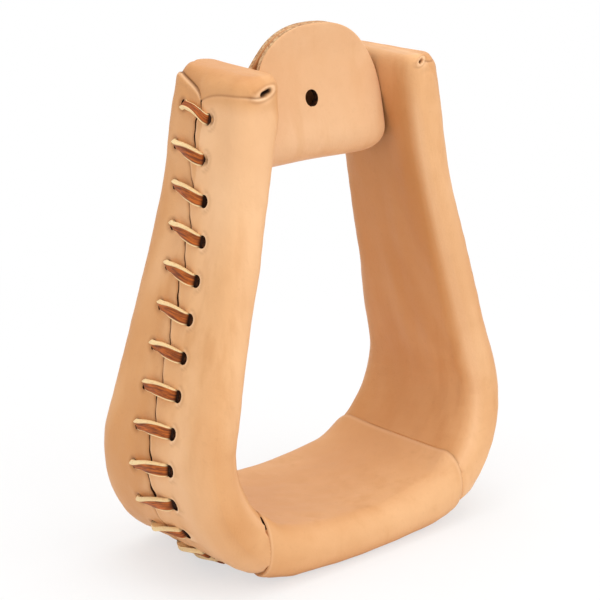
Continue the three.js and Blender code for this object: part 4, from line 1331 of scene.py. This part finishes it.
        # Painted highlight on the seam's raised front lip.
        pale += laced * 0.4 * bell(front - 0.9, 0.5)
        # Painted shade in the crease under the wings' rim.
        dark = wings * bell(below + 0.1, 0.3) * (0.12 + 0.5 * rear_side + 0.25 * near_slit)
        # Painted shadow beside the sleeve's proud end at its bottom corners.
        dark += 0.75 * self.low_line(grid)
        # Brown at the seam's edges: partly burnish and partly painted shade where the edges roll in.
        brown = laced * (0.4 * np.exp(-front / 0.5) + 0.5 * np.exp(-rear / 0.6))
        # Painted shade at the step of the wings' rim.
        brown += wings * bell(below + 0.1, 0.5) * 0.35
        return {"pale": pale, "dark": dark, "brown": brown}

    def hole_marks(self, grid: Grid) -> dict[str, Array]:
        """Marks of the slits and the punched holes: pale lips, brown rings round them and dark middles of
        painted shade.
        """
        pale, dark, brown = np.zeros((3, *grid.down.shape))
        for along, square, ring in self.slit_ways(grid):
            # Painted shade inside each pinched slit.
            dark += 1.7 * self.top.slit_size**2 * np.exp(-((along / 2.6) ** 6) - (square / 0.85) ** 2)
            pale += 0.65 * bell(ring - 1.8, 0.55) + 0.4 * bell(square - 3.4, 1.2) * bell(along, 3)
            brown += 0.3 * bell(ring - 2.7, 0.45)
        for stitch in SEAM.stitches():
            front, ahead, rear = self.around_holes(grid, stitch)
            lip = smooth(ahead, -1.2, 1.2)
            pale += (0.45 if stitch.shallow else 0.9) * bell(front - 2.8, 0.5) * lip
            brown += 0.25 * bell(front - 3.9, 0.6) * lip + 0.5 * bell(rear - 1.6, 0.8)
            # Painted shade in each hole and dimple.
            dark += (0.35 if stitch.shallow else 0.25) * bell(front, 1.9)
        return {"pale": pale, "dark": dark, "brown": brown}

    def broad_marks(self, grid: Grid, height: Array) -> dict[str, Array]:
        """Wide soft marks, with painted shade and painted highlight among them.

        Args:
            grid: The grid.
            height: The relief, whose hollows get painted shade in brown.

        Returns:
            Deeper colour inside and behind as painted shade, deeper colour on the top and in long bands, a
            painted highlight along the inner front edge, a paler foot, painted shade in the hollows, and the
            left arm's painted highlight on its upper front or the right arm's painted shadow of the pad on its
            upper inner face.
        """
        down, back = grid.down, grid.back
        outward = BOW.outward(np.broadcast_to(grid.place, down.shape), grid.around)
        # Painted shade: deeper colour on the rear of the outer face, turned from the light.
        behind = smooth(outward, 0.5, 1) * smooth(back, -3, 8)
        # Painted shade: deeper colour on the inner face, turned from the light.
        inside = (0.8 - 0.35 * smooth(down, 70, 160)) * smooth(-outward, 0.62, 1)
        bands = unevenness(0.2 * down, grid.around, 4, (9, 22))
        tan = (inside + 0.3 * behind) * smooth(down, -4, 25)
        tan += 0.45 * (1 - smooth(down, -3, 7)) * (1 - self.inner_share(grid)) + 0.22 * np.clip(bands, 0, 1)
        # Painted highlight along the rounded inner front edge.
        pale = 0.4 * bell(outward + 0.62, 0.16) * (back < 0) * smooth(down, 5, 30)
        pale += 0.2 * np.clip(-bands, 0, 1) * smooth(down, 8, 20) * smooth(outward, -0.9, -0.3)
        pale += 0.3 * smooth(outward, 0.3, 0.9) * smooth(-back, -2, 6) * smooth(down, 110, 160)
        # Painted shade in the relief's hollows.
        brown = 0.3 * smooth(-height, 0.5, 1.2)
        if self.arm is Arm.LEFT:
            # Painted highlight: a broad pale sheen on the left arm's upper front.
            in_front = (back < 0) * smooth(outward, -0.8, -0.2)
            pale += 0.5 * in_front * smooth(down, 6, 14) * (1 - smooth(down, 30, 80))
        else:
            # Painted shadow of the pad on the right arm's upper inner face.
            brown += 0.22 * smooth(-outward, 0.4, 1) * bell(down - 25, 45)
        return {"tan": tan, "pale": pale, "brown": brown}

    def marks(self, grid: Grid, height: Array) -> dict[str, Array]:
        """The values that the leather's colour reads: the sums of the three kinds of marks, from 0 to 1."""
        kinds = (self.edge_marks(grid), self.hole_marks(grid), self.broad_marks(grid, height))
        names = ("tan", "pale", "dark", "brown")
        return {name: np.clip(sum(kind.get(name, 0) for kind in kinds), 0, 1) for name in names}

    def build(self) -> bpy.types.Object:
        """Builds the cover and lets it stand for the arm's node."""
        grid = self.grid()
        sunk = self.punch(grid)
        plain = self.top.skin.point(grid.down, grid.around, True)
        normal = self.top.skin.normal(grid.down, grid.around, True)
        height = self.relief(grid)
        outer = plain + normal * height[..., None]
        inner = plain - normal * self.inner_depth(grid)[..., None]
        # The floors of the open seam and of the holes are painted shade, in the dark material.
        floor = plain - normal * self.floor_depth
        shell = Shell(outer, inner, np.ones_like(sunk), sunk, floor, closed_top=True)
        name = f"{self.arm.label}_arm_cover"
        materials = [self.finishes.leather, self.finishes.cut, self.finishes.dark]
        marks = self.marks(grid, height)
        made = shell_object(f"{name}_leather", shell, materials, marks, self.arm is Arm.LEFT)
        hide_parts(name)
        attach(made, Body.FRAME.value)
        return made


# Laces


def smooth_path(points: Array, steps: int) -> Array:
    """A smooth path through points: a Catmull-Rom curve with a number of steps between each two.

    Args:
        points: Rows of any number of values.
        steps: Steps between two points.

    Returns:
        Rows along the path.
    """
    padded = np.concatenate([points[:1], points, points[-1:]])
    share = (np.arange(steps) / steps)[:, None]
    before, start, end, after = (padded[i : i + len(points) - 1, None] for i in range(4))
    curve = 0.5 * (
        2 * start
        + (end - before) * share
        + (2 * before - 5 * start + 4 * end - after) * share**2
        + (3 * start - before - 3 * end + after) * share**3
    )
    return np.concatenate([curve.reshape(-1, points.shape[1]), points[-1:]])


@dataclass(frozen=True)
class Strip:
    """A flat lace with slightly rounded cut edges."""

    width: float = 4.4
    thickness: float = 1.9
    edge_points: int = 3
    face_points: int = 4

    def outline(self) -> tuple[Array, Array]:
        """The cross-section, and a mark that is 1 on its cut edges and flesh side.

        The first value goes across the lace and the second through it. The low face is the grain side, which
        lies outwards on the arm.
        """
        half, thin = self.width / 2, self.thickness / 2
        edge = np.linspace(-1, 1, self.edge_points + 2)
        face = np.linspace(-1, 1, self.face_points + 2)[1:-1]
        bulge = 0.12 * (1 - edge**2)
        right = np.stack([half + bulge, edge * thin * 0.92], 1)
        left = np.stack([-half - bulge, -edge * thin * 0.92], 1)
        top = np.stack([-face * half, np.full(face.shape, thin)], 1)
        low = np.stack([face * half, np.full(face.shape, -thin)], 1)
        marks = [np.ones(len(edge)), np.ones(len(face)), np.ones(len(edge)), np.zeros(len(face))]
        return np.concatenate([right, top, left, low]), np.concatenate(marks)

    def build(
        self,
        name: str,
        path: Array,
        width_way: Array,
        under: Array,
        material: bpy.types.Material,
        mirrored: bool = False,
        fullness: Array | None = None,
    ) -> bpy.types.Object:
        """Carries the cross-section along a path.

        Args:
            name: The object's name.
            path: Points of the middle line.
            width_way: The way of the lace's width at each point.
            under: How much painted shade each point gets where it lies in a hole, from 0 to 1.
            material: The lace's material.
            mirrored: Whether X is turned round.
            fullness: How many times its width the lace has at each point.

        Returns:
            The lace, closed at both ends.
        """
        outline, marks = self.outline()
        across = outline[:, :1] * (np.ones(len(path)) if fullness is None else fullness)[:, None, None]
        tangent = unit(np.gradient(path, axis=0))
        wide = unit(width_way - tangent * np.sum(width_way * tangent, 1)[:, None])
        flat = np.cross(tangent, wide)
        rings = path[:, None] + wide[:, None] * across + flat[:, None] * outline[:, 1:]
        count, columns = rings.shape[:2]
        index = np.arange(count * columns).reshape(count, columns)
        right = np.roll(index, -1, 1)
        quads = np.stack([index[:-1], right[:-1], right[1:], index[1:]], -1).reshape(-1, 4)
        caps = [index[0][None, ::-1], index[-1][None]]
        values = {
            "cream": np.tile(marks, count),
            "under": np.repeat(under, columns),
            "across": np.tile(outline[:, 0], count),
            "along": np.repeat(lengths_along(path), columns),
        }
        faces, slots = [quads, *caps], [0, 0, 0]
        return make_object(name, rings.reshape(-1, 3), faces, [material], slots, mirrored, values, 50)


@dataclass
class ArmLace:
    """The lace that whips over an arm's seam and goes under the leather from each stitch to the next."""

    arm: Arm
    finishes: Finishes
    strip: Strip = Strip()
    under: float = -2.5
    rise: float = 1.35
    wider: float = 0.18
    arch: float = 0.5
    tail: float = 5
    steps: int = 6

    def route(self) -> Array:
        """Rows of down, back, height, tilt and fullness along the lace."""
        places: list[tuple[float, float, float, float, float]] = []
        stitches = SEAM.stitches()
        first, last = stitches[0], stitches[-1]
        places.append((first.rear_down + 2.1, first.rear_back - self.tail, self.under, 0, 0))
        for number, stitch in enumerate(stitches):
            if number:
                before = stitches[number - 1]
                for share in (0.25, 0.5, 0.75):
                    down = before.front_down + (stitch.rear_down - before.front_down) * share
                    back = before.front_back + (stitch.rear_back - before.front_back) * share
                    places.append((down, back, self.under, 0, 0))
            places.extend(self.pass_over(stitch))
        places.append((last.front_down, last.front_back + self.tail, self.under, 0, 0))
        return np.array(places)

    def pass_over(self, stitch: Stitch) -> list[tuple[float, float, float, float, float]]:
        """The points of one stitch: up through the rear hole, over the seam and down through the front hole.

        Each row of the shape holds the share of the way from the rear end, the height, the share of the
        stitch's tilt and the fullness. The lace comes out on its edge and lies down flat towards the front, but
        for the first stitch, which stays tilted and is slimmer.
        """
        thick = self.strip.thickness / 2
        rear, front = stitch.rear_back - thick, stitch.front_back + thick
        kept, full = (1.0, -2.0) if stitch.tilt < 0 else (0.0, 1.0)
        rise = self.rise * stitch.lift
        shape = (
            (-0.06, self.under + 0.7, 0.2, 0),
            (-0.03, -1.2, 0.5, -1.5),
            (0.01, -0.05, 0.8, -1.2 + 0.2 * full),
            (0.08, rise - 0.55, 0.95, 0.3 * full),
            (0.18, rise - 0.05, 1.0, full),
            (0.3, rise + 0.2, 0.88 + 0.14 * kept, full),
            (0.5, rise + 0.35, 0.5 + 0.5 * kept, full),
            (0.72, rise + 0.15, 0.22 + 0.6 * kept, 0.9 * full),
            (0.88, rise - 0.2, 0.06 + 0.5 * kept, 0.7 * full),
            (0.98, 0.35 * stitch.lift, 0.25 * kept, 0.4 * full),
            (1.0, -0.9, 0, 0.1),
            (1.0, self.under + 0.6, 0, 0),
        )
        fall, arch = stitch.front_down - stitch.rear_down, self.arch * (1 + 2 * kept)
        places = []
        for share, height, turn, fuller in shape:
            down = stitch.rear_down + fall * share - arch * 4 * share * (1 - share)
            places.append((down, rear + (front - rear) * share, height, stitch.tilt * turn, fuller))
        return places

    def build(self) -> bpy.types.Object:
        """Builds the lace and lets it stand for the arm's lace node."""
        down, back, height, tilt, full = smooth_path(self.route(), self.steps).T
        around = -back
        plain, normal = SKIN.point(down, around), SKIN.normal(down, around)
        path = plain + normal * height[:, None]
        along = unit(SKIN.point(down + 0.5, around) - SKIN.point(down - 0.5, around))
        turn = np.radians(tilt)[:, None]
        width_way = -along * np.cos(turn) + normal * np.sin(turn)
        # Painted shade: the lace is darker where it sinks into a hole.
        under = 1 - smooth(height, -0.6, 0.35)
        name = f"{self.arm.label}_arm_lace"
        options: dict[str, Any] = {"mirrored": self.arm is Arm.LEFT, "fullness": 1 + self.wider * full}
        made = self.strip.build(f"{name}_strip", path, width_way, under, self.finishes.lace, **options)
        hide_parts(name)
        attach(made, Body.FRAME.value)
        return made


# Tread


@dataclass
class TreadCover:
    """The leather sleeve round the tread, with its own sunk seam beneath."""

    finishes: Finishes
    half_length: float = SEAM.sleeve_half_length
    thickness: float = 2.8
    swell: float = -0.1
    rear_swell: float = 1.1
    low_swell: float = 0.1
    swell_length: float = 14
    nominal_girth: float = 190
    gape_place: tuple[float, float, float] = (-31, 25.6, 5.5)
    gape: float = 1.1
    rows: int = 150
    coarse_columns: int = 150
    channel_half: float = 6
    channel_depth: float = 1.4
    stitch_count: int = 6
    stitch_pitch: float = 11.4
    stitch_half_span: float = 4.6
    lace: Strip = Strip(width=2.4, thickness=0.8, edge_points=2, face_points=3)

    def shares(self) -> Array:
        """Shares of the girth for the columns: close by the seam beneath and even elsewhere."""
        close = np.linspace(0.0024, 0.045, 16)
        even = np.linspace(0.045, 1 - 0.045, self.coarse_columns)[1:-1]
        return np.concatenate([close, even, 1 - close[::-1]])

    def place_at(self, width: Array, share: Array) -> Array:
        """The places where the surface has a distance from the middle, found by halving."""
        low, high = np.zeros(width.shape), np.full(width.shape, 2.3)
        for _ in range(30):
            middle = (low + high) / 2
            wide = BOW.point(middle, share * BOW.girth(middle))[..., 0] > width
            low, high = np.where(wide, low, middle), np.where(wide, middle, high)
        return (low + high) / 2

    def skin(self, width: Array, share: Array) -> tuple[Array, Array]:
        """Points and normals of the plain surface at a width, on either side of the middle."""
        side = np.where(width < 0, -1.0, 1.0)
        place = self.place_at(np.abs(width), share)

        def at(where: Array, part: Array) -> Array:
            """The point at a place and a share of the girth."""
            return BOW.point(where, part * BOW.girth(where))

        step = 0.002
        points = at(place, share)
        slope_along = at(place + step, share) - at(np.maximum(place - step, 0), share)
        slope_around = at(place, share + step / 4) - at(place, share - step / 4)
        normal = unit(np.cross(slope_along, slope_around))
        turn = np.stack([side, np.ones_like(side), np.ones_like(side)], -1)
        return points * turn, normal * turn

    def swell_at(self, points: Array) -> Array:
        """How far the sleeve's ends stand proud: most at the upper rear and where the end gapes."""
        low = (1 - smooth(points[..., 2], 3, 11)) * smooth(np.abs(points[..., 1]), 8, 20)
        rear = smooth(points[..., 1], 12, 32) * smooth(points[..., 2], 15, 25)
        return self.swell + self.rear_swell * rear + self.low_swell * low + self.gape * self.gapes(points)

    def gapes(self, points: Array) -> Array:
        """1 at the front upper corner, where the sleeve's end stands off the arm cover, and 0 elsewhere."""
        y, z, reach = self.gape_place
        return bell(np.hypot(points[..., 1] - y, points[..., 2] - z), reach)

    def relief(self, points: Array, share: Array, away: Array) -> Array:
        """Height of the sleeve over the plain surface.

        The ends swell over the arm covers and roll in at their edge, soft folds lie beside them, the channel
        for the lace is sunk beneath, and the rest is handmade unevenness.

        Args:
            points: Points of the plain surface.
            share: Share of the girth.
            away: Distance from the sleeve's nearer end.

        Returns:
            Millimetres out of the surface.
        """
        x, y, z = np.moveaxis(points, -1, 0)
        height = self.swell_at(points) * (1 - smooth(away, 1, self.swell_length))
        height -= 0.35 * np.exp(-away / 0.3)
        height -= 0.3 * bell(away - 9, 4) * bell(y + 30, 9)
        height += 0.2 * bell(away - 14, 3) * bell(y + 24, 12)
        height -= 0.12 * bell(away - 3.2 - 0.1 * z, 0.8) * smooth(-y, 10, 25)
        beneath = (z < 4) & (np.abs(x) < self.half_length - 1)
        sunk = 1 - smooth(np.abs(y), self.channel_half - 0.5, self.channel_half + 0.3)
        height -= np.where(beneath, self.channel_depth * sunk * smooth(away, 4, 9), 0)
        around = share * self.nominal_girth
        return height + 0.15 * unevenness(x, around, 11) + 0.05 * unevenness(x, around, 12, (6, 15))

    def marks(self, points: Array, away: Array) -> dict[str, Array]:
        """The values that the leather's colour reads: burnished ends with painted shade where they gape, a
        painted highlight beside them, and painted shade beneath and behind.
        """
        # Burnished brown ends, darker still as painted shade where the end gapes.
        brown = (0.4 + 0.25 * self.gapes(points)) * np.exp(-away / 0.55)
        # Painted highlight along the ends' rolled lip.
        pale = 0.35 * bell(away - 0.9, 0.5)
        # Painted shade: deeper colour beneath and behind.
        below = 0.5 * (1 - smooth(points[..., 2], 2, 9))
        behind = 0.4 * smooth(points[..., 1], 30, 38)
        return {"brown": brown, "pale": pale, "tan": np.clip(below + behind, 0, 1)}

    def build(self) -> bpy.types.Object:
        """Builds the sleeve and lets it stand for the tread's node."""
        lip = np.array([0, 0.2, 0.45, 0.8, 1.2, 1.7, 2.3])
        inside = np.linspace(-self.half_length + 3, self.half_length - 3, self.rows)
        width = np.concatenate([-self.half_length + lip, inside, (self.half_length - lip)[::-1]])
        width, share = (np.array(part) for part in np.meshgrid(width, self.shares(), indexing="ij"))
        away = self.half_length - np.abs(width)
        reach = SEAM.sleeve_end(self.skin(width, share)[0][..., 1], Arm.LEFT) - self.half_length
        points, normal = self.skin(width - reach * smooth(-width, 25, self.half_length), share)
        wobble = 0.3 * unevenness(share * self.nominal_girth, 0 * share, 5, (25, 70))
        outer = points + normal * self.relief(points, share, away)[..., None]
        outer[..., 0] += wobble * smooth(np.abs(width), 40, 51)
        outer[..., 2] = np.maximum(outer[..., 2], 0)
        swell = self.swell_at(points) * smooth(np.abs(width), 38, 47)
        inner = points + normal * (swell - self.thickness)[..., None]
        middle = (points[:-1] + points[1:])[:, ::-1] / 2
        # The walls where the end gapes are painted shade, in the dark material.
        shell = Shell(outer[:, ::-1], inner[:, ::-1], self.kept(outer), painted_shade_walls=self.gapes(middle) > 0.3)
        marks = {key: value[:, ::-1] for key, value in self.marks(points, away).items()}
        materials = [self.finishes.tread, self.finishes.tread, self.finishes.dark]
        made = shell_object("tread_cover_leather", shell, materials, marks)
        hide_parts("tread_cover")
        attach(made, Body.FRAME.value)
        return made

    def kept(self, outer: Array) -> Array:
        """Keeps all faces but those of the seam and of its stitch holes."""
        rows, columns = outer.shape[:2]
        kept = np.ones((rows - 1, columns), bool)
        kept[:, -1] = False
        middle = face_middles(outer[:, ::-1])
        for x in self.stitch_places():
            for y in (self.stitch_half_span, -self.stitch_half_span):
                reach = np.hypot((middle[..., 0] - x) / 1.8, (middle[..., 1] - y) / 1.3)
                kept &= ~((reach < 1) & (middle[..., 2] < 4))
        return kept

    def stitch_places(self) -> Array:
        """X of each stitch of the sleeve's seam."""
        return (np.arange(self.stitch_count) - (self.stitch_count - 1) / 2) * self.stitch_pitch

    def build_lace(self) -> bpy.types.Object:
        """Builds the sleeve's lace, sunk in its channel, and lets it stand for its node."""
        places: list[tuple[float, float, float]] = []
        span = self.stitch_half_span
        over, under = 0.75, 3.6  # heights of the lace over the seam and under the leather
        rear = ((span - 0.2, under), (span, under - 0.8), (span, over + 0.9), (span - 0.8, over))
        for x in self.stitch_places():
            places += [(x, y, z) for y, z in rear]
            places.append((x, 0, over - 0.05))
            places += [(x, -y, z) for y, z in rear[::-1]]
            places.append((x + self.stitch_pitch / 2, 0, under))
        path = smooth_path(np.array(places[:-1]), 5)
        bend = BOW.outer.bottom_radius - np.sqrt(BOW.outer.bottom_radius**2 - path[:, 0] ** 2)
        path[:, 2] += bend * smooth(path[:, 2], 1.5, 3)
        width_way = np.broadcast_to(np.array([1.0, 0, 0]), path.shape)
        # Painted shade where the lace goes down under the leather.
        hidden = smooth(path[:, 2], 1.6, 2.6)
        made = self.lace.build("tread_lace_strip", path, width_way, hidden, self.finishes.lace)
        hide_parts("tread_lace")
        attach(made, Body.FRAME.value)
        return made


# Bar


@dataclass
class BarPad:
    """The leather pad folded round the bar: two leaves side by side, with one hole through both."""

    finishes: Finishes
    bar_height: float = 167.3
    roller_radius: float = 7
    gap: float = 0.35
    thickness: float = 2.8
    layer_gap: float = 0.16
    half_width: float = 32.3
    height: float = 44.2
    shoulder: float = 11.5
    roundness: float = 2.33
    join_height: float = 32.5
    lower_corner: float = 14.5
    lean: float = 1.5
    hole_side: float = -4.9
    hole_height: float = 16
    hole_radius: float = 3.3
    columns: int = 120
    rows: int = 210

    def line(self) -> Array:
        """The middle layer's side view: Y and Z from the front top, round under the bar, to the back top."""
        fold = self.roller_radius + self.gap + self.thickness / 2
        half = (self.thickness + self.layer_gap) / 2
        leave = math.asin((fold - half) / math.hypot(fold, self.join_height))
        turn = np.linspace(-leave, math.pi / 2, 60)
        arc = np.stack([-fold * np.cos(turn), -fold * np.sin(turn)], 1)
        top = np.stack([np.full(20, -half), np.linspace(self.height, self.join_height, 20)], 1)
        slope = top[-1] + (arc[0] - top[-1]) * np.linspace(0, 1, 40)[1:-1, None]
        front = np.concatenate([top, slope, arc])
        back = front[:-1][::-1] * np.array([-1, 1])
        return np.concatenate([front, back])

    def resampled(self) -> tuple[Array, Array]:
        """The line with soft bends and closer steps at both ends, and each point's length from its middle."""
        line = self.line()
        gone = lengths_along(line)
        fine = np.linspace(0, gone[-1], 1600)
        even = np.stack([np.interp(fine, gone, line[:, axis]) for axis in (0, 1)], 1)
        reach = 60
        kernel = np.hanning(2 * reach + 1)
        kernel /= kernel.sum()
        ends = np.pad(even, ((reach, reach), (0, 0)), mode="reflect", reflect_type="odd")
        soft = np.stack([np.convolve(ends[:, axis], kernel, "valid") for axis in (0, 1)], 1)
        even_share = np.linspace(0, 1, self.rows)
        share = 0.6 * (0.5 - 0.5 * np.cos(even_share * math.pi)) + 0.4 * even_share
        at = share * gone[-1]
        picked = np.stack([np.interp(at, fine, soft[:, axis]) for axis in (0, 1)], 1)
        return picked, at - gone[-1] / 2

    def half_width_at(self, height: Array, from_fold: Array) -> Array:
        """Half the pad's width: round shoulders above, full between, and rounded corners at the fold."""
        share = np.clip((height - self.shoulder) / (self.height - self.shoulder), 0, 1)
        upper = self.half_width * (1 - share**self.roundness) ** (1 / self.roundness)
        rest = np.clip(self.lower_corner - from_fold, 0, self.lower_corner)
        lower = self.half_width - self.lower_corner + np.sqrt(self.lower_corner**2 - rest**2)
        return np.maximum(np.minimum(upper, lower), 1.2)

    def build(self) -> bpy.types.Object:
        """Builds the pad and lets it stand for its node."""
        line, from_middle = self.resampled()
        tangent = unit(np.gradient(line, axis=0))
        normal = np.stack([-tangent[:, 1], tangent[:, 0]], 1)
        even = np.linspace(-1, 1, self.columns)
        share = np.sign(even) * (1 - (1 - np.abs(even)) ** 1.35)
        half = self.half_width_at(line[:, 1], np.abs(from_middle))
        x = half[:, None] * share[None]
        across = (1 - np.abs(share[None])) * half[:, None]
        ends = np.minimum(from_middle - from_middle[0], from_middle[-1] - from_middle)[:, None]
        edge = np.minimum(across, ends + 0.001)
        thin = 0.5 * np.exp(-edge / 0.5)
        wave = 0.12 * unevenness(x, from_middle[:, None], 3)
        rows = []
        for sign in (1, -1):
            out = sign * (self.thickness / 2 - thin) + wave
            y = line[:, None, 0] + normal[:, None, 0] * out
            z = line[:, None, 1] + normal[:, None, 1] * out
            rows.append(np.stack([np.broadcast_to(x, y.shape), y, z], -1))
        kept = np.ones((len(line) - 1, self.columns), bool)
        kept[:, -1] = False
        self.cut_hole(rows, kept)
        marks = self.marks(rows[0], edge, from_middle)
        outer, inner = (self.leaned(part) for part in rows)
        away = np.hypot(rows[0][:-1, :, 0] - self.hole_side, rows[0][:-1, :, 2] - self.hole_height)
        # The hole's walls are painted shade, in the dark material.
        shell = Shell(outer, inner, kept, painted_shade_walls=away < self.hole_radius + 2)
        materials = [self.finishes.pad, self.finishes.cut, self.finishes.dark]
        made = shell_object("bar_pad_leather", shell, materials, marks)
        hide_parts("bar_pad")
        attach(made, Body.PAD.value)
        return made

    def marks(self, grid: Array, edge: Array, from_middle: Array) -> dict[str, Array]:
        """The values that the leather's colour reads.

        Args:
            grid: Points of the pad's face, before it leans.
            edge: Distance from the nearer edge.
            from_middle: Length from the fold's middle, less than 0 in front.

        Returns:
            A pale rim at the edge and the hole, a painted highlight on the right side, painted shade low on the
            fold and on the left side, and a browner back leaf.
        """
        reach = np.hypot(grid[..., 0] - self.hole_side, grid[..., 2] - self.hole_height)
        pale = 0.5 * np.exp(-edge / 0.45) + 0.85 * bell(reach - self.hole_radius - 0.45, 0.5)
        back = np.broadcast_to(smooth(from_middle, -2, 4)[:, None], edge.shape)
        # Painted shade low on the fold and on the left side.
        painted_pad_shade = 0.35 * bell(grid[..., 2] + 6, 5) * smooth(edge, 0, 6) + 0.25 * smooth(-grid[..., 0], 5, 28)
        # Painted highlight on the right side.
        pale += 0.25 * smooth(grid[..., 0], 12, 28)
        brown = 0.35 * back * np.exp(-edge / 1.2)
        return {"pale": pale * (1 - back), "brown": brown, "tan": 0.4 * back + painted_pad_shade}

    def cut_hole(self, rows: list[Array], kept: Array) -> None:
        """Leaves out the hole's faces in both leaves and draws its rim onto a circle."""
        level, across = rows[0][..., 2] - self.hole_height, rows[0][..., 0] - self.hole_side
        gone = np.hypot(face_middles(level), face_middles(across)) < self.hole_radius
        gone[:, -1] = False
        kept &= ~gone
        rim = rim_of(gone)
        reach = np.hypot(level, across)[rim] / self.hole_radius
        for part in rows:
            part[rim, 0] = self.hole_side + across[rim] / reach
            part[rim, 2] = self.hole_height + level[rim] / reach

    def leaned(self, points: Array) -> Array:
        """Turns points about the bar's axis by the pad's lean and lifts them to the bar."""
        turn = math.radians(self.lean)
        y, z = points[..., 1], points[..., 2]
        turned_y = y * math.cos(turn) - z * math.sin(turn)
        turned_z = y * math.sin(turn) + z * math.cos(turn)
        return np.stack([points[..., 0], turned_y, turned_z + self.bar_height], -1)


# The hidden wooden and steel pieces


@dataclass
class HiddenParts:
    """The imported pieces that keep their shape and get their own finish."""

    frame: dict[str, Any]
    finishes: Finishes
    wood: tuple[str, ...] = ("bow_inner_strip", "bow_middle_strip", "bow_outer_strip")
    steel: tuple[str, ...] = ("stirrup_bolt", "bolt_nut", "left_washer", "right_washer", "bar_roller")

    def dress(self) -> int:
        """Gives each piece its material and returns how many were dressed."""
        for names, material in ((self.wood, self.finishes.wood), (self.steel, self.finishes.steel)):
            for name in names:
                mesh = self.frame["nodes"][name].data
                mesh.materials.clear()
                mesh.materials.append(material)
        return len(self.wood) + len(self.steel)


# Studio


@dataclass(frozen=True)
class Lamp:
    """A square soft lamp."""

    name: str
    place: tuple[float, float, float]
    size: float
    power: float


@dataclass
class Studio:
    """The camera at the photograph's viewing angle, soft lamps, a pale world and a white floor, in metres."""

    camera_place: tuple[float, float, float] = (-0.47867, -0.52948, 0.30715)
    camera_target: tuple[float, float, float] = (-0.0064, -0.00182, 0.10084)
    lens: float = 110.32
    sensor: float = 36
    world_strength: float = 0.52
    floor_fade: tuple[float, float] = (0.14, 0.45)
    floor_glow: float = 0.62
    lamp_target: tuple[float, float, float] = (0, 0, 0.1)
    lamps: tuple[Lamp, ...] = (
        Lamp("key", (0.45, -1.5, 1.0), 2.0, 14),
        Lamp("fill", (-1.7, -0.4, 0.7), 3.0, 15),
        Lamp("top", (0.1, 0.1, 1.7), 1.6, 15),
    )

    def aimed(self, data: bpy.types.ID, place: tuple, target: tuple) -> bpy.types.Object:
        """Places a camera or a lamp in the scene and points it at a target."""
        made = bpy.data.objects.new(data.name, data)
        made.location = place
        made.rotation_mode = "QUATERNION"
        made.rotation_quaternion = (Vector(target) - Vector(place)).to_track_quat("-Z", "Y")
        bpy.context.scene.collection.objects.link(made)
        return made

    def camera(self) -> None:
        """Makes the scene's camera."""
        data = bpy.data.cameras.new("camera")
        data.lens, data.sensor_width = self.lens, self.sensor
        data.clip_start, data.clip_end = 0.01, 20
        bpy.context.scene.camera = self.aimed(data, self.camera_place, self.camera_target)

    def light(self) -> None:
        """Makes the soft lamps, which point at the stirrup."""
        for lamp in self.lamps:
            data = bpy.data.lights.new(lamp.name, "AREA")
            data.shape, data.size, data.energy = "SQUARE", lamp.size, lamp.power
            self.aimed(data, lamp.place, self.lamp_target)

    def world(self) -> None:
        """A soft grey world that the camera, metal and glass see as white."""
        board = Board(bpy.data.worlds.new("studio"), "World")
        camera, glossy = (board.node("LightPath", {}, {}, f"Is {kind} Ray") for kind in ("Camera", "Glossy"))
        soft, white = (
            board.node("Background", {}, {"Color": (1, 1, 1, 1), "Strength": strength})
            for strength in (self.world_strength, 1)
        )
        seen = camera.math("MAXIMUM", camera, glossy)
        bpy.context.scene.world = board.end(board.node("MixShader", {}, {0: seen, 1: soft, 2: white}))

    def floor(self) -> None:
        """A wide white floor that takes the stirrup's shadow and glows white to the camera farther away."""
        reach = 6.0
        mesh = bpy.data.meshes.new("floor")
        corners = [(-reach, -reach, 0), (reach, -reach, 0), (reach, reach, 0), (-reach, reach, 0)]
        mesh.from_pydata(corners, [], [(0, 1, 2, 3)])
        board = Board.of_material("white_floor")
        lit = board.node("BsdfPrincipled", {}, {"Base Color": (0.9, 0.9, 0.9, 1), "Roughness": 0.9})
        white = board.node("Emission", {}, {"Color": (1, 1, 1, 1), "Strength": 1.0})
        away = board.node("VectorMath", {"operation": "LENGTH"}, {0: board.place()}, "Value")
        seen = board.node("LightPath", {}, {}, "Is Camera Ray")
        share = (board.step(away, *self.floor_fade) * (1 - self.floor_glow) + self.floor_glow) * seen
        mesh.materials.append(board.end(board.node("MixShader", {}, {0: share, 1: lit, 2: white})))
        made = bpy.data.objects.new("floor", mesh)
        bpy.context.scene.collection.objects.link(made)
        made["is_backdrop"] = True

    def build(self) -> None:
        """Builds the whole studio."""
        self.camera()
        self.light()
        self.world()
        self.floor()
        bpy.context.scene.view_settings.view_transform = "Standard"


def corners() -> list[list[float]]:
    """The shown object's lowest and highest corner, as plain lists."""
    return [list(corner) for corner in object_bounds()]


def main() -> None:
    """Builds the studio and every piece."""
    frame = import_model()
    Studio().build()
    finishes = Finishes()
    LOG.info("dressed %d packed pieces", HiddenParts(frame, finishes).dress())
    tread = TreadCover(finishes)
    builders: list[Callable[[], bpy.types.Object]] = [tread.build, tread.build_lace, BarPad(finishes).build]
    for arm in Arm:
        builders += [ArmCover(arm, finishes).build, ArmLace(arm, finishes).build]
    for build in builders:
        made = build()
        LOG.info("%s: %d faces", made.name, len(made.data.polygons))


if __name__ == "__main__":
    logging.basicConfig(level=logging.INFO)
    main()
